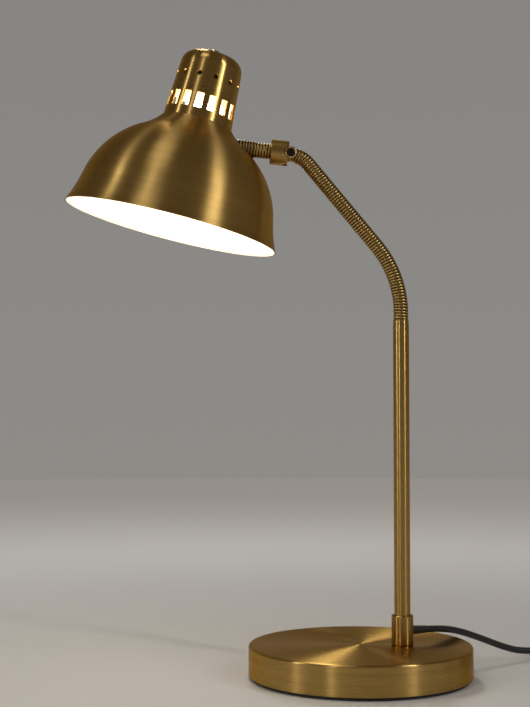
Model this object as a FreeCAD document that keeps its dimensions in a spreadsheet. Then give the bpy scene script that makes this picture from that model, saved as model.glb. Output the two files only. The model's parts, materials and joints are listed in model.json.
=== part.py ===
import FreeCAD, Part
import math
import os
import Sketcher

# Dome shade desk lamp, in millimetres.
# The origin is the centre of the underside of the base. +Z is up, the arm and shade reach out to -X,
# and the whole lamp lies in the plane Y = 0, apart from its mains cord.

Vector = FreeCAD.Vector
Rotation = FreeCAD.Rotation
Placement = FreeCAD.Placement
UP = Vector(0, 0, 1)
ACROSS = Vector(0, 1, 0)

# ---------------------------------------------------------------- driving dimensions

SIZES = {
    # base
    "base_diameter": 180.0,
    "base_top": 26.2,  # height of the top of the base above the desk
    "pad_thickness": 2.5,
    "pad_inset": 2.5,  # how far the pad stands back from the edge of the shell
    "shell_wall": 1.2,
    "shell_edge": 1.8,  # rounding of the top edge
    "weight_disc": 9.0,
    "weight_boss_radius": 19.0,
    "weight_gap": 0.4,  # between the weight and the shell
    "nut_recess_radius": 13.0,
    "nut_recess_depth": 9.5,
    # pole and collar
    "pole_x": 34.0,
    "pole_diameter": 13.0,
    "pole_wall": 1.0,
    "pole_top": 283.0,
    "collar_diameter": 17.6,
    "collar_height": 23.4,
    "collar_chamfer": 0.5,
    "collar_floor": 5.0,  # thickness of the threaded floor of the collar
    "collar_seat": 7.6,  # how deep the pole sits in the collar
    "collar_cavity": 11.0,
    "nipple_diameter": 10.0,
    "nipple_bore": 7.0,
    "thread_gap": 0.05,  # radial gap of a screwed or sliding fit
    "nut_flats": 14.0,
    "nut_height": 4.0,
    "washer_diameter": 22.0,
    "washer_height": 1.5,
    "grub_diameter": 4.0,
    "grub_socket": 2.0,
    "lead_diameter": 5.5,
    # strain relief of the cord
    "relief_yaw": 42.0,  # direction in which the cord leaves, from +X towards +Y
    "relief_dip": 4.0,  # how far it points down
    "relief_rise": 10.9,  # of its root above the base
    "relief_length": 20.0,
    "relief_root_diameter": 7.6,
    "relief_shank_diameter": 6.6,
    "relief_lead_gap": 0.25,
    "relief_tip_diameter": 5.9,
    "relief_face_gap": 0.1,
    # gooseneck
    "neck_diameter": 12.2,
    "neck_bore": 8.0,
    "ferrule_diameter": 12.6,
    "ferrule_height": 4.5,
    "ferrule_spigot": 12.0,
    "ferrule_bore": 6.2,
    "neck_rise": 6.0,  # straight stretch above the ferrule
    "bend_radius": 86.0,
    "bend_angle": 39.5,
    "neck_run": 87.6,  # straight stretch after the bend
    "tip_radius": 20.0,
    "tip_angle": 30.0,
    "tongue_reach": 6.2,  # from the end of the gooseneck to the hinge
    "tongue_flange": 0.6,
    "tongue_spigot": 5.0,
    "tongue_bore": 3.6,
    "first_hinge": 14.0,  # along the gooseneck
    "hinge_step": 26.0,
    "joint_ball": 7.5,  # radius of the ball ends of the links
    "joint_gap": 0.3,
    # tilting joint
    "pin_diameter": 4.0,
    "pin_gap": 0.05,
    "tongue_thickness": 5.8,
    "tongue_radius": 5.2,
    "side_gap": 0.3,  # between the tongue and each cheek
    "cheek_thickness": 3.0,
    "barrel_diameter": 20.4,
    "barrel_start": 2.0,  # from the hinge to the near face of the barrel
    "barrel_length": 11.6,
    "slot_depth": 5.8,  # from the hinge to the floor of the slot
    "barrel_web": 1.6,
    "barrel_lead_hole": 5.0,
    "barrel_cavity": 15.4,
    "barrel_chamfer": 0.8,
    "cap_length": 3.0,
    "cap_lip": 1.0,  # how deep the end cap sits in the barrel
    "head_recess_gap": 0.5,
    "cup_floor": 0.6,
    "cup_edge": 0.75,
    "cup_washer_diameter": 9.4,
    "cup_washer_height": 1.8,
    "screw_head_diameter": 6.4,
    "screw_head_height": 2.6,
    "screw_socket": 3.0,
    "screw_socket_depth": 1.6,
    "hinge_nut_flats": 7.0,
    "hinge_nut_height": 3.0,
    # arm of the shade
    "arm_lean": 83.5,  # from the vertical towards -X
    "arm_diameter": 10.0,
    "arm_bore": 7.0,
    "arm_coil_diameter": 12.6,
    "arm_coil_gap": 0.4,  # between the end of the ribbed sleeve and the dome
    "arm_seat_diameter": 15.0,
    "arm_inner_seat_diameter": 14.0,
    "arm_nut_flats": 12.0,
    "arm_nut_height": 3.0,
    "arm_tip": 0.5,  # of the tube beyond its nut
    "arm_reach": 39.8,  # from the hinge to where the axis meets the dome
    "arm_height": 77.5,  # of that point above the rim, along the axis of the shade
    # shade
    "shade_lean": 14.0,  # from the vertical towards +X
    "shade_wall": 1.0,
    "lip_height": 26.0,
    "lip_radius": 128.9,
    "dome_centre_radius": 6.5,
    "dome_centre_height": 10.7,
    "dome_curve": 75.0,
    "shoulder_angle": 30.3,
    "shoulder_curve": 52.9,
    "neck_angle": 52.0,
    "shade_neck_height": 7.0,
    # vent cap
    "cap_foot_radius": 28.8,
    "cap_taper": 4.0,  # half angle of the cone, in degrees
    "cap_height": 57.6,
    "cap_round": 11.0,
    "slot_count": 16,
    "slot_width": 6.2,
    "slot_length": 12.5,
    "slot_middle": 13.5,  # above the foot of the cap
    "slot_corner": 0.8,
    "slot_phase": -0.5,
    "hole_count": 12,
    "hole_diameter": 4.0,
    "hole_middle": 35.5,
    "hole_phase": 18.0,
    "finial_diameter": 9.5,
    "finial_height": 4.6,
    "stud_diameter": 6.0,
    "stud_grip": 4.0,  # how deep it sits in the lampholder
    # lampholder and bulb
    "holder_radius": 13.5,
    "holder_height": 40.0,
    "holder_shoulder": 26.0,
    "holder_top_radius": 8.5,
    "holder_bore": 8.0,
    "holder_bore_depth": 25.0,
    "holder_gap": 1.5,  # between the holder and the top of the cap
    "insert_wall": 0.5,
    "insert_foot": 3.0,
    "holder_neck": 4.0,
    "bulb_cap_radius": 6.9,
    "bulb_cap_height": 22.0,
    "bulb_contact_height": 2.2,
    "bulb_radius": 22.5,
    "bulb_neck_radius": 9.0,
    "bulb_neck_height": 7.0,
    "bulb_cap_taper": 2.5,
    "bulb_cap_taper_height": 3.0,
    "bulb_length": 52.0,  # of the glass
    "glass_wall": 1.0,
    "shade_lead_diameter": 3.0,
    "shade_lead_radius": 24.25,  # of its rising stretch, from the axis of the shade
    "shade_lead_bend": 5.0,
    "shade_lead_rise": 2.0,  # of its top bend above the neck of the shade
    "shade_lead_entry": 8.0,  # of its end above the foot of the holder
    "shade_lead_grip": 4.0,  # how far it reaches into the arm tube
    # mains cord, switch and plug
    "cord_diameter": 5.5,
    "coil_radius": 31.0,  # middle of the turns
    "coil_thickness": 16.5,
    "coil_round": 5.0,
    "switch_length": 60.0,
    "switch_width": 24.0,
    "switch_height": 15.0,
    "switch_round": 5.0,
    "switch_heading": 20.0,
    "switch_cavity_length": 30.0,
    "switch_cavity_width": 12.0,
    "rocker_length": 21.0,
    "rocker_width": 11.0,
    "rocker_pivot_height": 9.5,
    "rocker_crown": 17.2,
    "rocker_gap": 0.4,
    "rocker_pin_diameter": 2.4,
    "rocker_pin_gap": 0.2,
    "rocker_drop": 3.5,  # of its underside below the pin
    "rocker_dish": 1.2,
    "rocker_tilt": 7.0,  # as it lies when switched on
    "switch_floor": 2.0,
    "rocker_pin_inset": 3.0,  # of the pin's hole from the side of the case
    "switch_screw_diameter": 3.0,
    "switch_screw_spread": 21.0,
    "switch_screw_head": 5.0,
    "switch_screw_head_height": 1.2,
    "switch_screw_sink": 0.6,
    "switch_screw_grip": 3.0,  # how far it reaches into the upper half
    "plug_length": 34.0,
    "plug_width": 34.0,
    "plug_thickness": 14.0,
    "plug_tail_width": 12.0,
    "plug_heading": -85.0,
    "plug_pin_diameter": 4.0,
    "plug_pin_length": 19.0,
    "plug_pin_spread": 18.6,
    "plug_edge": 2.0,
}



def wall_radius(height, depth):
    """The radius of the dome's skin at a height above the rim, a depth inside the outer skin."""
    dome = f"pow(Sizes.dome_curve - {depth}; 2) - pow({height} - Sizes.dome_centre_height; 2)"
    shoulder = f"pow(Sizes.shoulder_curve + {depth}; 2) - pow(Places.sweep_height - {height}; 2)"
    on_dome = f"Sizes.dome_centre_radius + sqrt(abs({dome}))"
    on_shoulder = f"Places.sweep_radius - sqrt(abs({shoulder}))"
    return f"(({height}) < Places.shoulder_height ? {on_dome} : {on_shoulder})"


# Places that follow from the driving dimensions. A lean is measured from the vertical towards -X.
PLACES = {
    "shell_top_inside": "Sizes.base_top - Sizes.shell_wall",
    "collar_top": "Sizes.base_top + Sizes.collar_height",
    "cavity_floor": "Sizes.base_top + Sizes.collar_floor",
    "pole_foot": "Places.collar_top - Sizes.collar_seat",
    "relief_height": "Sizes.base_top + Sizes.relief_rise",
    "recess_top": "Sizes.pad_thickness + Sizes.nut_recess_depth",
    "neck_foot": "Sizes.pole_top + Sizes.ferrule_height",
    "tip_lean": "Sizes.bend_angle + Sizes.tip_angle",
    "bend_end_x": "Sizes.pole_x - Sizes.bend_radius * (1 - cos(Sizes.bend_angle))",
    "bend_end_z": "Places.neck_foot + Sizes.neck_rise + Sizes.bend_radius * sin(Sizes.bend_angle)",
    "run_end_x": "Places.bend_end_x - Sizes.neck_run * sin(Sizes.bend_angle)",
    "run_end_z": "Places.bend_end_z + Sizes.neck_run * cos(Sizes.bend_angle)",
    "neck_end_x": "Places.run_end_x - Sizes.tip_radius * (cos(Sizes.bend_angle) - cos(Places.tip_lean))",
    "neck_end_z": "Places.run_end_z + Sizes.tip_radius * (sin(Places.tip_lean) - sin(Sizes.bend_angle))",
    "hinge_x": "Places.neck_end_x - Sizes.tongue_reach * sin(Places.tip_lean)",
    "hinge_z": "Places.neck_end_z + Sizes.tongue_reach * cos(Places.tip_lean)",
    "cheek_outside": "Sizes.tongue_thickness / 2 + Sizes.side_gap + Sizes.cheek_thickness",
    "barrel_end": "Sizes.barrel_start + Sizes.barrel_length",
    "arm_start": "Places.barrel_end + Sizes.cap_length",
    "dome_angle": "acos((Sizes.lip_height - Sizes.dome_centre_height) / Sizes.dome_curve)",
    "lip_end_radius": "Sizes.dome_centre_radius + Sizes.dome_curve * sin(Places.dome_angle)",
    "shoulder_radius": "Sizes.dome_centre_radius + Sizes.dome_curve * sin(Sizes.shoulder_angle)",
    "shoulder_height": "Sizes.dome_centre_height + Sizes.dome_curve * cos(Sizes.shoulder_angle)",
    "sweep_radius": "Places.shoulder_radius + Sizes.shoulder_curve * sin(Sizes.shoulder_angle)",
    "sweep_height": "Places.shoulder_height + Sizes.shoulder_curve * cos(Sizes.shoulder_angle)",
    "neck_radius": "Places.sweep_radius - Sizes.shoulder_curve * sin(Sizes.neck_angle)",
    "cap_foot": "Places.sweep_height - Sizes.shoulder_curve * cos(Sizes.neck_angle)",
    "cap_top": "Places.cap_foot + Sizes.cap_height",
    "arm_hole_radius": wall_radius("Sizes.arm_height", "0"),
    "sleeve_foot": "Sizes.arm_height - Sizes.arm_coil_diameter / 2",
    "sleeve_wall": wall_radius("Places.sleeve_foot", "0"),
    "sleeve_end": "Sizes.arm_reach + Places.arm_hole_radius - Places.sleeve_wall - Sizes.arm_coil_gap",
    "arm_nut_crown": "Sizes.arm_height + Sizes.arm_nut_flats / 2 / cos(30)",
    "arm_nut_wall": wall_radius("Places.arm_nut_crown", "Sizes.shade_wall"),
    "arm_seat_end": "Sizes.arm_reach + Places.arm_hole_radius - Places.arm_nut_wall",
    "arm_end": "Places.arm_seat_end + Sizes.arm_nut_height + Sizes.arm_tip",
    "arm_hole_x": "Places.hinge_x - Sizes.arm_reach * sin(Sizes.arm_lean)",
    "arm_hole_z": "Places.hinge_z + Sizes.arm_reach * cos(Sizes.arm_lean)",
    "rim_x": "Places.arm_hole_x - Places.arm_hole_radius * cos(Sizes.shade_lean)"
    " - Sizes.arm_height * sin(Sizes.shade_lean)",
    "rim_z": "Places.arm_hole_z + Places.arm_hole_radius * sin(Sizes.shade_lean)"
    " - Sizes.arm_height * cos(Sizes.shade_lean)",
    "holder_top": "Places.cap_top - Sizes.shade_wall - Sizes.holder_gap",
    "holder_foot": "Places.holder_top - Sizes.holder_height",
    "bulb_cap_foot": "Places.holder_foot + Sizes.holder_bore_depth - Sizes.bulb_contact_height"
    " - Sizes.bulb_cap_height",
    "bulb_middle": "Places.bulb_cap_foot - Sizes.bulb_length + Sizes.bulb_radius",
}

# The free cord is laid by hand: its route on the desk, as corners of the runs between the bends.
LAMP_SIDE_ROUTE = [
    (84.0, 42.6, 30.4),
    (104.5, 54.0, 22.4),
    (125.5, 63.3, 13.2),
]
CORD_EXIT_RUN = 16.0
SWITCH_START = (163.0, 77.4, 7.5)
STRAIGHT_RUN = 20.0
SWITCH_SIDE_CORNERS = [
    (258.8, 100.6, 4.6),
    (272.0, 83.4, 2.75),
    (271.6, 61.6, 2.75),
    (258.4, 43.0, 2.75),
    (245.0, 26.0, 2.75),
]
COIL_CENTRE = (210.7, 38.2)
COIL_ENTRY = (236.0, 12.5, 2.75)
PLUG_SIDE_ROUTE = [
    (239.8, 44.0, 13.6),
    (242.2, 24.0, 13.4),
    (244.2, 4.0, 10.6),
]
PLUG_START = (248.0, -32.0, 7.0)

doc = FreeCAD.newDocument("dome_shade_desk_lamp")


def fill_sheet(name, cells):
    """A sheet with one named cell for each dimension."""
    sheet = doc.addObject("Spreadsheet::Sheet", name)
    for row, (alias, value) in enumerate(cells.items(), start=1):
        sheet.set(f"A{row}", alias)
        sheet.set(f"B{row}", value)
        sheet.setAlias(f"B{row}", alias)
    return sheet


sizes = fill_sheet("Sizes", {alias: str(value) for alias, value in SIZES.items()})
doc.recompute()
places = fill_sheet("Places", {alias: "=" + rule.replace("Places.", "") for alias, rule in PLACES.items()})
doc.recompute()


def value(rule):
    """The number that an expression has now."""
    return float(sizes.evalExpression(rule))


# ---------------------------------------------------------------- frames
# A frame is a point in the plane Y = 0 and a turn about Y. Its third axis is the axis of the piece.

POLE = ("Sizes.pole_x", "0", "0")
HINGE = ("Places.hinge_x", "Places.hinge_z", "-Sizes.arm_lean")
NECK_END = ("Places.neck_end_x", "Places.neck_end_z", "-Places.tip_lean")
SHADE = ("Places.rim_x", "Places.rim_z", "Sizes.shade_lean")


def put(piece, frame, along="0", aside="0", across="0", lying=False):
    """Seat a piece in a frame: along its axis, aside in the plane of the lamp, and across along Y."""
    x, z, turn = frame
    axis = Vector(-1, 0, 0) if lying else ACROSS
    piece.Placement = Placement(Vector(0, 0, 0), Rotation(axis, 90 if lying else 30))
    piece.setExpression("Placement.Base.x", f"{x} + ({along}) * sin({turn}) + ({aside}) * cos({turn})")
    piece.setExpression("Placement.Base.y", across)
    piece.setExpression("Placement.Base.z", f"{z} + ({along}) * cos({turn}) - ({aside}) * sin({turn})")
    if not lying:
        piece.setExpression("Placement.Rotation.Angle", turn)
    return piece


# ---------------------------------------------------------------- construction helpers


def bind(piece, **rules):
    """Bind properties of a piece to expressions."""
    for name, rule in rules.items():
        piece.setExpression(name, rule)
    return piece


def cylinder(label, diameter, height):
    """A cylinder along its own Z."""
    return bind(doc.addObject("Part::Cylinder", label), Radius=f"({diameter}) / 2", Height=height)


def cone(label, diameter, end_diameter, height):
    """A cone along its own Z."""
    piece = doc.addObject("Part::Cone", label)
    return bind(piece, Radius1=f"({diameter}) / 2", Radius2=f"({end_diameter}) / 2", Height=height)


def prism(label, flats, height):
    """A hexagon, by its width across the flats."""
    piece = doc.addObject("Part::Prism", label)
    piece.Polygon = 6
    return bind(piece, Circumradius=f"({flats}) / 2 / cos(30)", Height=height)


def cut(label, base, *tools):
    """The base less the tools."""
    for number, tool in enumerate(tools, start=1):
        last = number == len(tools)
        piece = doc.addObject("Part::Cut", label if last else f"{label}_step{number}")
        piece.Base = base
        piece.Tool = tool
        base = piece
    return base


def fuse(label, *shapes):
    """One solid of several."""
    piece = doc.addObject("Part::MultiFuse", label)
    piece.Shapes = list(shapes)
    piece.Refine = True
    return piece


def common(label, first, second):
    """What two shapes share."""
    piece = doc.addObject("Part::MultiCommon", label)
    piece.Shapes = [first, second]
    return piece


def plane_of(body, role):
    """An origin plane or axis of a body."""
    return [item for item in body.Origin.OriginFeatures if item.Role == role][0]


def new_sketch(body, name, role="XZ_Plane"):
    """A sketch on an origin plane of its own body."""
    sketch = body.newObject("Sketcher::SketchObject", name)
    sketch.AttachmentSupport = [(plane_of(body, role), "")]
    sketch.MapMode = "FlatFace"
    return sketch


def arc_between(start, end, radius, centre_left):
    """An arc of a circle, with its centre to the left or right of the way from start to end."""
    chord = end - start
    middle = (start + end) / 2
    side = Vector(-chord.y, chord.x, 0).normalize()
    offset = math.sqrt(radius**2 - (chord.Length / 2) ** 2)
    centre = middle + side * (offset if centre_left else -offset)
    first, last = (start, end) if centre_left else (end, start)
    angles = [math.atan2(point.y - centre.y, point.x - centre.x) for point in (first, last)]
    if angles[1] < angles[0]:
        angles[1] += 2 * math.pi
    return Part.ArcOfCircle(Part.Circle(centre, UP, radius), angles[0], angles[1])


def draw(sketch, corners):
    """Draw a closed outline. A corner is (x, y), or (x, y, radius, side) where an arc leaves it."""
    points = [Vector(value(corner[0]), value(corner[1]), 0) for corner in corners]
    ends = []
    for number, corner in enumerate(corners):
        start, end = points[number], points[(number + 1) % len(points)]
        if len(corner) == 2:
            edge = sketch.addGeometry(Part.LineSegment(start, end), False)
            ends.append((edge, 1, 2))
        else:
            left = corner[3] == "left"
            arc = arc_between(start, end, value(corner[2]), left)
            edge = sketch.addGeometry(arc, False)
            ends.append((edge, 1, 2) if left else (edge, 2, 1))
    for number, (edge, _, last) in enumerate(ends):
        following, first, _ = ends[(number + 1) % len(ends)]
        sketch.addConstraint(Sketcher.Constraint("Coincident", edge, last, following, first))
    for number, corner in enumerate(corners):
        edge, first, _ = ends[number]
        for kind, place, rule in (("DistanceX", points[number].x, corner[0]), ("DistanceY", points[number].y, corner[1])):
            index = sketch.addConstraint(Sketcher.Constraint(kind, -1, 1, edge, first, place))
            sketch.setExpression(f"Constraints[{index}]", rule)
        if len(corner) > 2:
            index = sketch.addConstraint(Sketcher.Constraint("Radius", edge, value(corner[2])))
            sketch.setExpression(f"Constraints[{index}]", corner[2])


def turned(label, corners):
    """A turned or spun piece: an outline in radius and height, revolved about the body's Z."""
    body = doc.addObject("PartDesign::Body", label)
    sketch = new_sketch(body, label + "_outline")
    draw(sketch, corners)
    spin = body.newObject("PartDesign::Revolution", label + "_turn")
    spin.Profile = (sketch, [""])
    spin.ReferenceAxis = (sketch, ["V_Axis"])
    spin.Angle = 360
    doc.recompute()
    return body


def edges_at(body, height, radius):
    """Names of the round edges of a body at a height and radius, before it is placed."""
    found = []
    for number, edge in enumerate(body.Tip.Shape.Edges, start=1):
        box = edge.BoundBox
        flat = box.ZLength < 0.01 and abs(box.ZMax - height) < 0.01
        if flat and abs(box.XMax - radius) < 0.01:
            found.append(f"Edge{number}")
    return found


def dress(body, kind, size, spots):
    """A fillet or chamfer on round edges, each spot being (height, radius)."""
    tip = body.Tip
    names = [name for height, radius in spots for name in edges_at(body, value(height), value(radius))]
    feature = body.newObject("PartDesign::" + kind, f"{body.Name}_{kind.lower()}")
    feature.Base = (tip, names)
    feature.setExpression("Radius" if kind == "Fillet" else "Size", size)
    body.Tip = feature
    doc.recompute()
    return body


def tube_path(corners, radius_of):
    """Straight runs joined by tangent arcs. radius_of gives the arc's radius at a corner."""
    points = [Vector(*corner) for corner in corners]
    edges = []
    radii = []
    start = points[0]
    for before, corner, after in zip(points, points[1:], points[2:]):
        inward = (corner - before).normalize()
        outward = (after - corner).normalize()
        half_turn = inward.getAngle(outward) / 2
        radius = radius_of((corner - before).Length, (after - corner).Length, half_turn)
        setback = radius * math.tan(half_turn)
        first = corner - inward * setback
        last = corner + outward * setback
        bisector = (outward - inward).normalize()
        middle = corner + bisector * (radius / math.cos(half_turn) - radius)
        edges += [Part.LineSegment(start, first).toShape(), Part.Arc(first, middle, last).toShape()]
        radii.append(radius)
        start = last
    edges.append(Part.LineSegment(start, points[-1]).toShape())
    return Part.Wire(edges), radii


def sweep(wire, diameter):
    """A round tube along a wire, checked against its section times its length."""
    first = wire.Edges[0]
    direction = first.tangentAt(first.FirstParameter)
    circle = Part.Wire(Part.makeCircle(diameter / 2, first.valueAt(first.FirstParameter), direction))
    shape = wire.makePipeShell([circle], True, True)
    wanted = math.pi * diameter**2 / 4 * wire.Length
    if abs(shape.Volume / wanted - 1) > 0.01:
        raise ValueError(f"a tube holds {shape.Volume:.1f} instead of {wanted:.1f}")
    return shape


def feature(label, shape, placement=None):
    """A sub-part with a shape from Part's own functions."""
    piece = doc.addObject("Part::Feature", label)
    piece.Shape = shape
    if placement:
        piece.Placement = placement
    return piece


nodes = []


def keep(*pieces):
    """List finished sub-parts for export."""
    nodes.extend(pieces)


# ---------------------------------------------------------------- base


def make_base():
    """Rubber pad, cast weight and spun shell, clamped by a hollow threaded tube at the pole."""
    pad = turned(
        "base_pad",
        [
            ("0", "0"),
            ("Sizes.base_diameter / 2 - Sizes.pad_inset", "0"),
            ("Sizes.base_diameter / 2 - Sizes.pad_inset", "Sizes.pad_thickness"),
            ("0", "Sizes.pad_thickness"),
        ],
    )
    outside = "Sizes.base_diameter / 2"
    inside = "Sizes.base_diameter / 2 - Sizes.shell_wall"
    shell_blank = turned(
        "base_shell_blank",
        [
            ("0", "Places.shell_top_inside"),
            (inside, "Places.shell_top_inside"),
            (inside, "Sizes.pad_thickness"),
            (outside, "Sizes.pad_thickness"),
            (outside, "Sizes.base_top - Sizes.shell_edge", "Sizes.shell_edge", "left"),
            (f"{outside} - Sizes.shell_edge", "Sizes.base_top"),
            ("0", "Sizes.base_top"),
        ],
    )
    bore = "Sizes.nipple_diameter + 2 * Sizes.thread_gap"
    shell_hole = put(cylinder("base_shell_hole", bore, "Sizes.base_top + 1"), POLE)
    shell = cut("base_shell", shell_blank, shell_hole)
    disc = cylinder("weight_plate", f"2 * ({inside} - Sizes.weight_gap)", "Sizes.weight_disc")
    bind(disc, **{"Placement.Base.z": "Sizes.pad_thickness"})
    boss_height = "Places.shell_top_inside - Sizes.pad_thickness"
    boss = put(cylinder("weight_boss", "2 * Sizes.weight_boss_radius", boss_height), POLE, "Sizes.pad_thickness")
    casting = fuse("weight_casting", disc, boss)
    recess = cylinder("weight_recess", "2 * Sizes.nut_recess_radius", "Places.recess_top")
    weight_hole = cylinder("weight_hole", bore, "Sizes.base_top")
    weight = cut("base_weight", casting, put(recess, POLE), put(weight_hole, POLE))
    washer_foot = "Places.recess_top - Sizes.washer_height"
    nut_foot = f"{washer_foot} - Sizes.nut_height"
    washer = cut(
        "base_washer",
        put(cylinder("washer_blank", "Sizes.washer_diameter", "Sizes.washer_height"), POLE, washer_foot),
        put(cylinder("washer_hole", bore, "Sizes.base_top"), POLE),
    )
    nut = cut(
        "base_nut",
        put(prism("nut_blank", "Sizes.nut_flats", "Sizes.nut_height"), POLE, nut_foot),
        put(cylinder("nut_hole", bore, "Sizes.base_top"), POLE),
    )
    nipple_foot = f"{nut_foot} - 1"
    nipple_height = f"Places.cavity_floor - ({nipple_foot})"
    nipple = cut(
        "base_nipple",
        put(cylinder("nipple_blank", "Sizes.nipple_diameter", nipple_height), POLE, nipple_foot),
        put(cylinder("nipple_hole", "Sizes.nipple_bore", "Places.cavity_floor"), POLE),
    )
    keep(pad, shell, weight, washer, nut, nipple)


def relief_placement(distance):
    """A place on the axis on which the cord leaves the collar, at a distance from the pole's axis."""
    yaw = math.radians(value("Sizes.relief_yaw"))
    dip = math.radians(value("Sizes.relief_dip"))
    level = math.cos(dip)
    direction = Vector(level * math.cos(yaw), level * math.sin(yaw), -math.sin(dip))
    start = Vector(value("Sizes.pole_x"), 0, value("Places.relief_height"))
    return Placement(start + direction * distance, Rotation(UP, direction))


def make_pole():
    """Turned collar, pole, the lead inside and the strain relief of the cord."""
    blank = turned(
        "collar_blank",
        [
            ("Sizes.nipple_diameter / 2 + Sizes.thread_gap", "Sizes.base_top"),
            ("Sizes.collar_diameter / 2", "Sizes.base_top"),
            ("Sizes.collar_diameter / 2", "Places.collar_top"),
            ("Sizes.pole_diameter / 2 + Sizes.thread_gap", "Places.collar_top"),
            ("Sizes.pole_diameter / 2 + Sizes.thread_gap", "Places.pole_foot"),
            ("Sizes.collar_cavity / 2", "Places.pole_foot"),
            ("Sizes.collar_cavity / 2", "Places.cavity_floor"),
            ("Sizes.nipple_diameter / 2 + Sizes.thread_gap", "Places.cavity_floor"),
        ],
    )
    rims = [("Places.collar_top", "Sizes.collar_diameter / 2"), ("Sizes.base_top", "Sizes.collar_diameter / 2")]
    put(dress(blank, "Chamfer", "Sizes.collar_chamfer", rims), POLE)
    cord_hole = cylinder("collar_cord_hole", "Sizes.relief_shank_diameter", "Sizes.collar_diameter")
    cord_hole.Placement = relief_placement(0)
    grub_height = "Places.collar_top - Sizes.collar_seat / 2"
    grub_reach = "(Sizes.collar_diameter - Sizes.pole_diameter) / 2"
    pole_skin = "Sizes.pole_diameter / 2"
    screw_hole = cylinder("collar_screw_hole", "Sizes.grub_diameter", "Sizes.collar_diameter")
    put(screw_hole, POLE, grub_height, lying=True)
    collar = cut("pole_collar", blank, cord_hole, screw_hole)
    grub = cylinder("grub_blank", "Sizes.grub_diameter", f"{grub_reach} - 0.2")
    socket = prism("grub_socket", "Sizes.grub_socket", grub_reach)
    put(grub, POLE, grub_height, across=pole_skin, lying=True)
    put(socket, POLE, grub_height, across=f"{pole_skin} + 1", lying=True)
    grub_screw = cut("collar_grub_screw", grub, socket)
    pole_length = "Sizes.pole_top - Places.pole_foot"
    pole = cut(
        "pole_tube",
        put(cylinder("pole_blank", "Sizes.pole_diameter", pole_length), POLE, "Places.pole_foot"),
        put(cylinder("pole_hole", "Sizes.pole_diameter - 2 * Sizes.pole_wall", "Sizes.pole_top"), POLE),
    )
    lead_foot = "Places.cavity_floor + 1"
    lead = cylinder("pole_lead", "Sizes.lead_diameter", f"Sizes.pole_top - ({lead_foot})")
    put(lead, POLE, lead_foot)
    shank_start = value("Sizes.lead_diameter / 2 + Sizes.relief_lead_gap")
    taper_start = value("Sizes.collar_diameter / 2")
    shank = bind(
        cylinder("relief_shank", "Sizes.relief_shank_diameter", "Sizes.collar_diameter / 2"),
        Height="Sizes.collar_diameter / 2 + 1 - Sizes.lead_diameter / 2 - Sizes.relief_lead_gap",
    )
    shank.Placement = relief_placement(shank_start)
    taper = cone("relief_taper", "Sizes.relief_root_diameter", "Sizes.relief_tip_diameter", "Sizes.relief_length")
    taper.Placement = relief_placement(taper_start + value("Sizes.relief_face_gap"))
    relief = fuse("cord_relief", shank, cut("relief_outside", taper, blank))
    ferrule = turned(
        "neck_ferrule",
        [
            ("Sizes.ferrule_bore / 2", "Sizes.pole_top - Sizes.ferrule_spigot"),
            ("Sizes.pole_diameter / 2 - Sizes.pole_wall - Sizes.thread_gap", "Sizes.pole_top - Sizes.ferrule_spigot"),
            ("Sizes.pole_diameter / 2 - Sizes.pole_wall - Sizes.thread_gap", "Sizes.pole_top"),
            ("Sizes.ferrule_diameter / 2", "Sizes.pole_top"),
            ("Sizes.ferrule_diameter / 2", "Places.neck_foot"),
            ("Sizes.neck_bore / 2 - Sizes.thread_gap", "Places.neck_foot"),
            ("Sizes.neck_bore / 2 - Sizes.thread_gap", "Places.neck_foot + Sizes.neck_rise"),
            ("Sizes.ferrule_bore / 2", "Places.neck_foot + Sizes.neck_rise"),
        ],
    )
    put(ferrule, POLE)
    keep(collar, grub_screw, pole, lead, relief, ferrule)


# ---------------------------------------------------------------- gooseneck


def neck_stretches():
    """The centre line of the gooseneck: each stretch has a start, a lean, a radius (0 if straight) and a length."""
    bend = value("Sizes.bend_angle")
    foot = value("Places.neck_foot")
    rise = value("Sizes.neck_rise")
    bend_radius = value("Sizes.bend_radius")
    tip_radius = value("Sizes.tip_radius")
    return [
        (Vector(value("Sizes.pole_x"), 0, foot), 0, 0, rise),
        (Vector(value("Sizes.pole_x"), 0, foot + rise), 0, bend_radius, bend_radius * math.radians(bend)),
        (Vector(value("Places.bend_end_x"), 0, value("Places.bend_end_z")), bend, 0, value("Sizes.neck_run")),
        (
            Vector(value("Places.run_end_x"), 0, value("Places.run_end_z")),
            bend,
            tip_radius,
            tip_radius * math.radians(value("Sizes.tip_angle")),
        ),
    ]


def on_stretch(stretch, distance):
    """The point and the lean at a distance along one stretch."""
    start, lean, radius, _ = stretch
    if radius == 0:
        angle = math.radians(lean)
        return start + Vector(-math.sin(angle), 0, math.cos(angle)) * distance, lean
    new_lean = lean + math.degrees(distance / radius)
    first, last = math.radians(lean), math.radians(new_lean)
    step = Vector(-(math.cos(first) - math.cos(last)), 0, math.sin(last) - math.sin(first)) * radius
    return start + step, new_lean


def on_neck(distance):
    """The point and the lean at a distance along the whole gooseneck, or straight on past its end."""
    for stretch in neck_stretches():
        if distance <= stretch[3]:
            return on_stretch(stretch, distance)
        distance -= stretch[3]
    end, lean = on_stretch(stretch, stretch[3])
    angle = math.radians(lean)
    return end + Vector(-math.sin(angle), 0, math.cos(angle)) * distance, lean


def neck_wire(start, end):
    """The centre line of the gooseneck between two distances."""
    marks = [start]
    passed = 0
    for stretch in neck_stretches():
        passed += stretch[3]
        if start + 0.01 < passed < end - 0.01:
            marks.append(passed)
    marks.append(end)
    edges = []
    for first, last in zip(marks, marks[1:]):
        a, middle, b = (on_neck(mark)[0] for mark in (first, (first + last) / 2, last))
        straight = (middle - a).cross(b - middle).Length < 1e-6
        edges.append(Part.LineSegment(a, b).toShape() if straight else Part.Arc(a, middle, b).toShape())
    return Part.Wire(edges)


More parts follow.
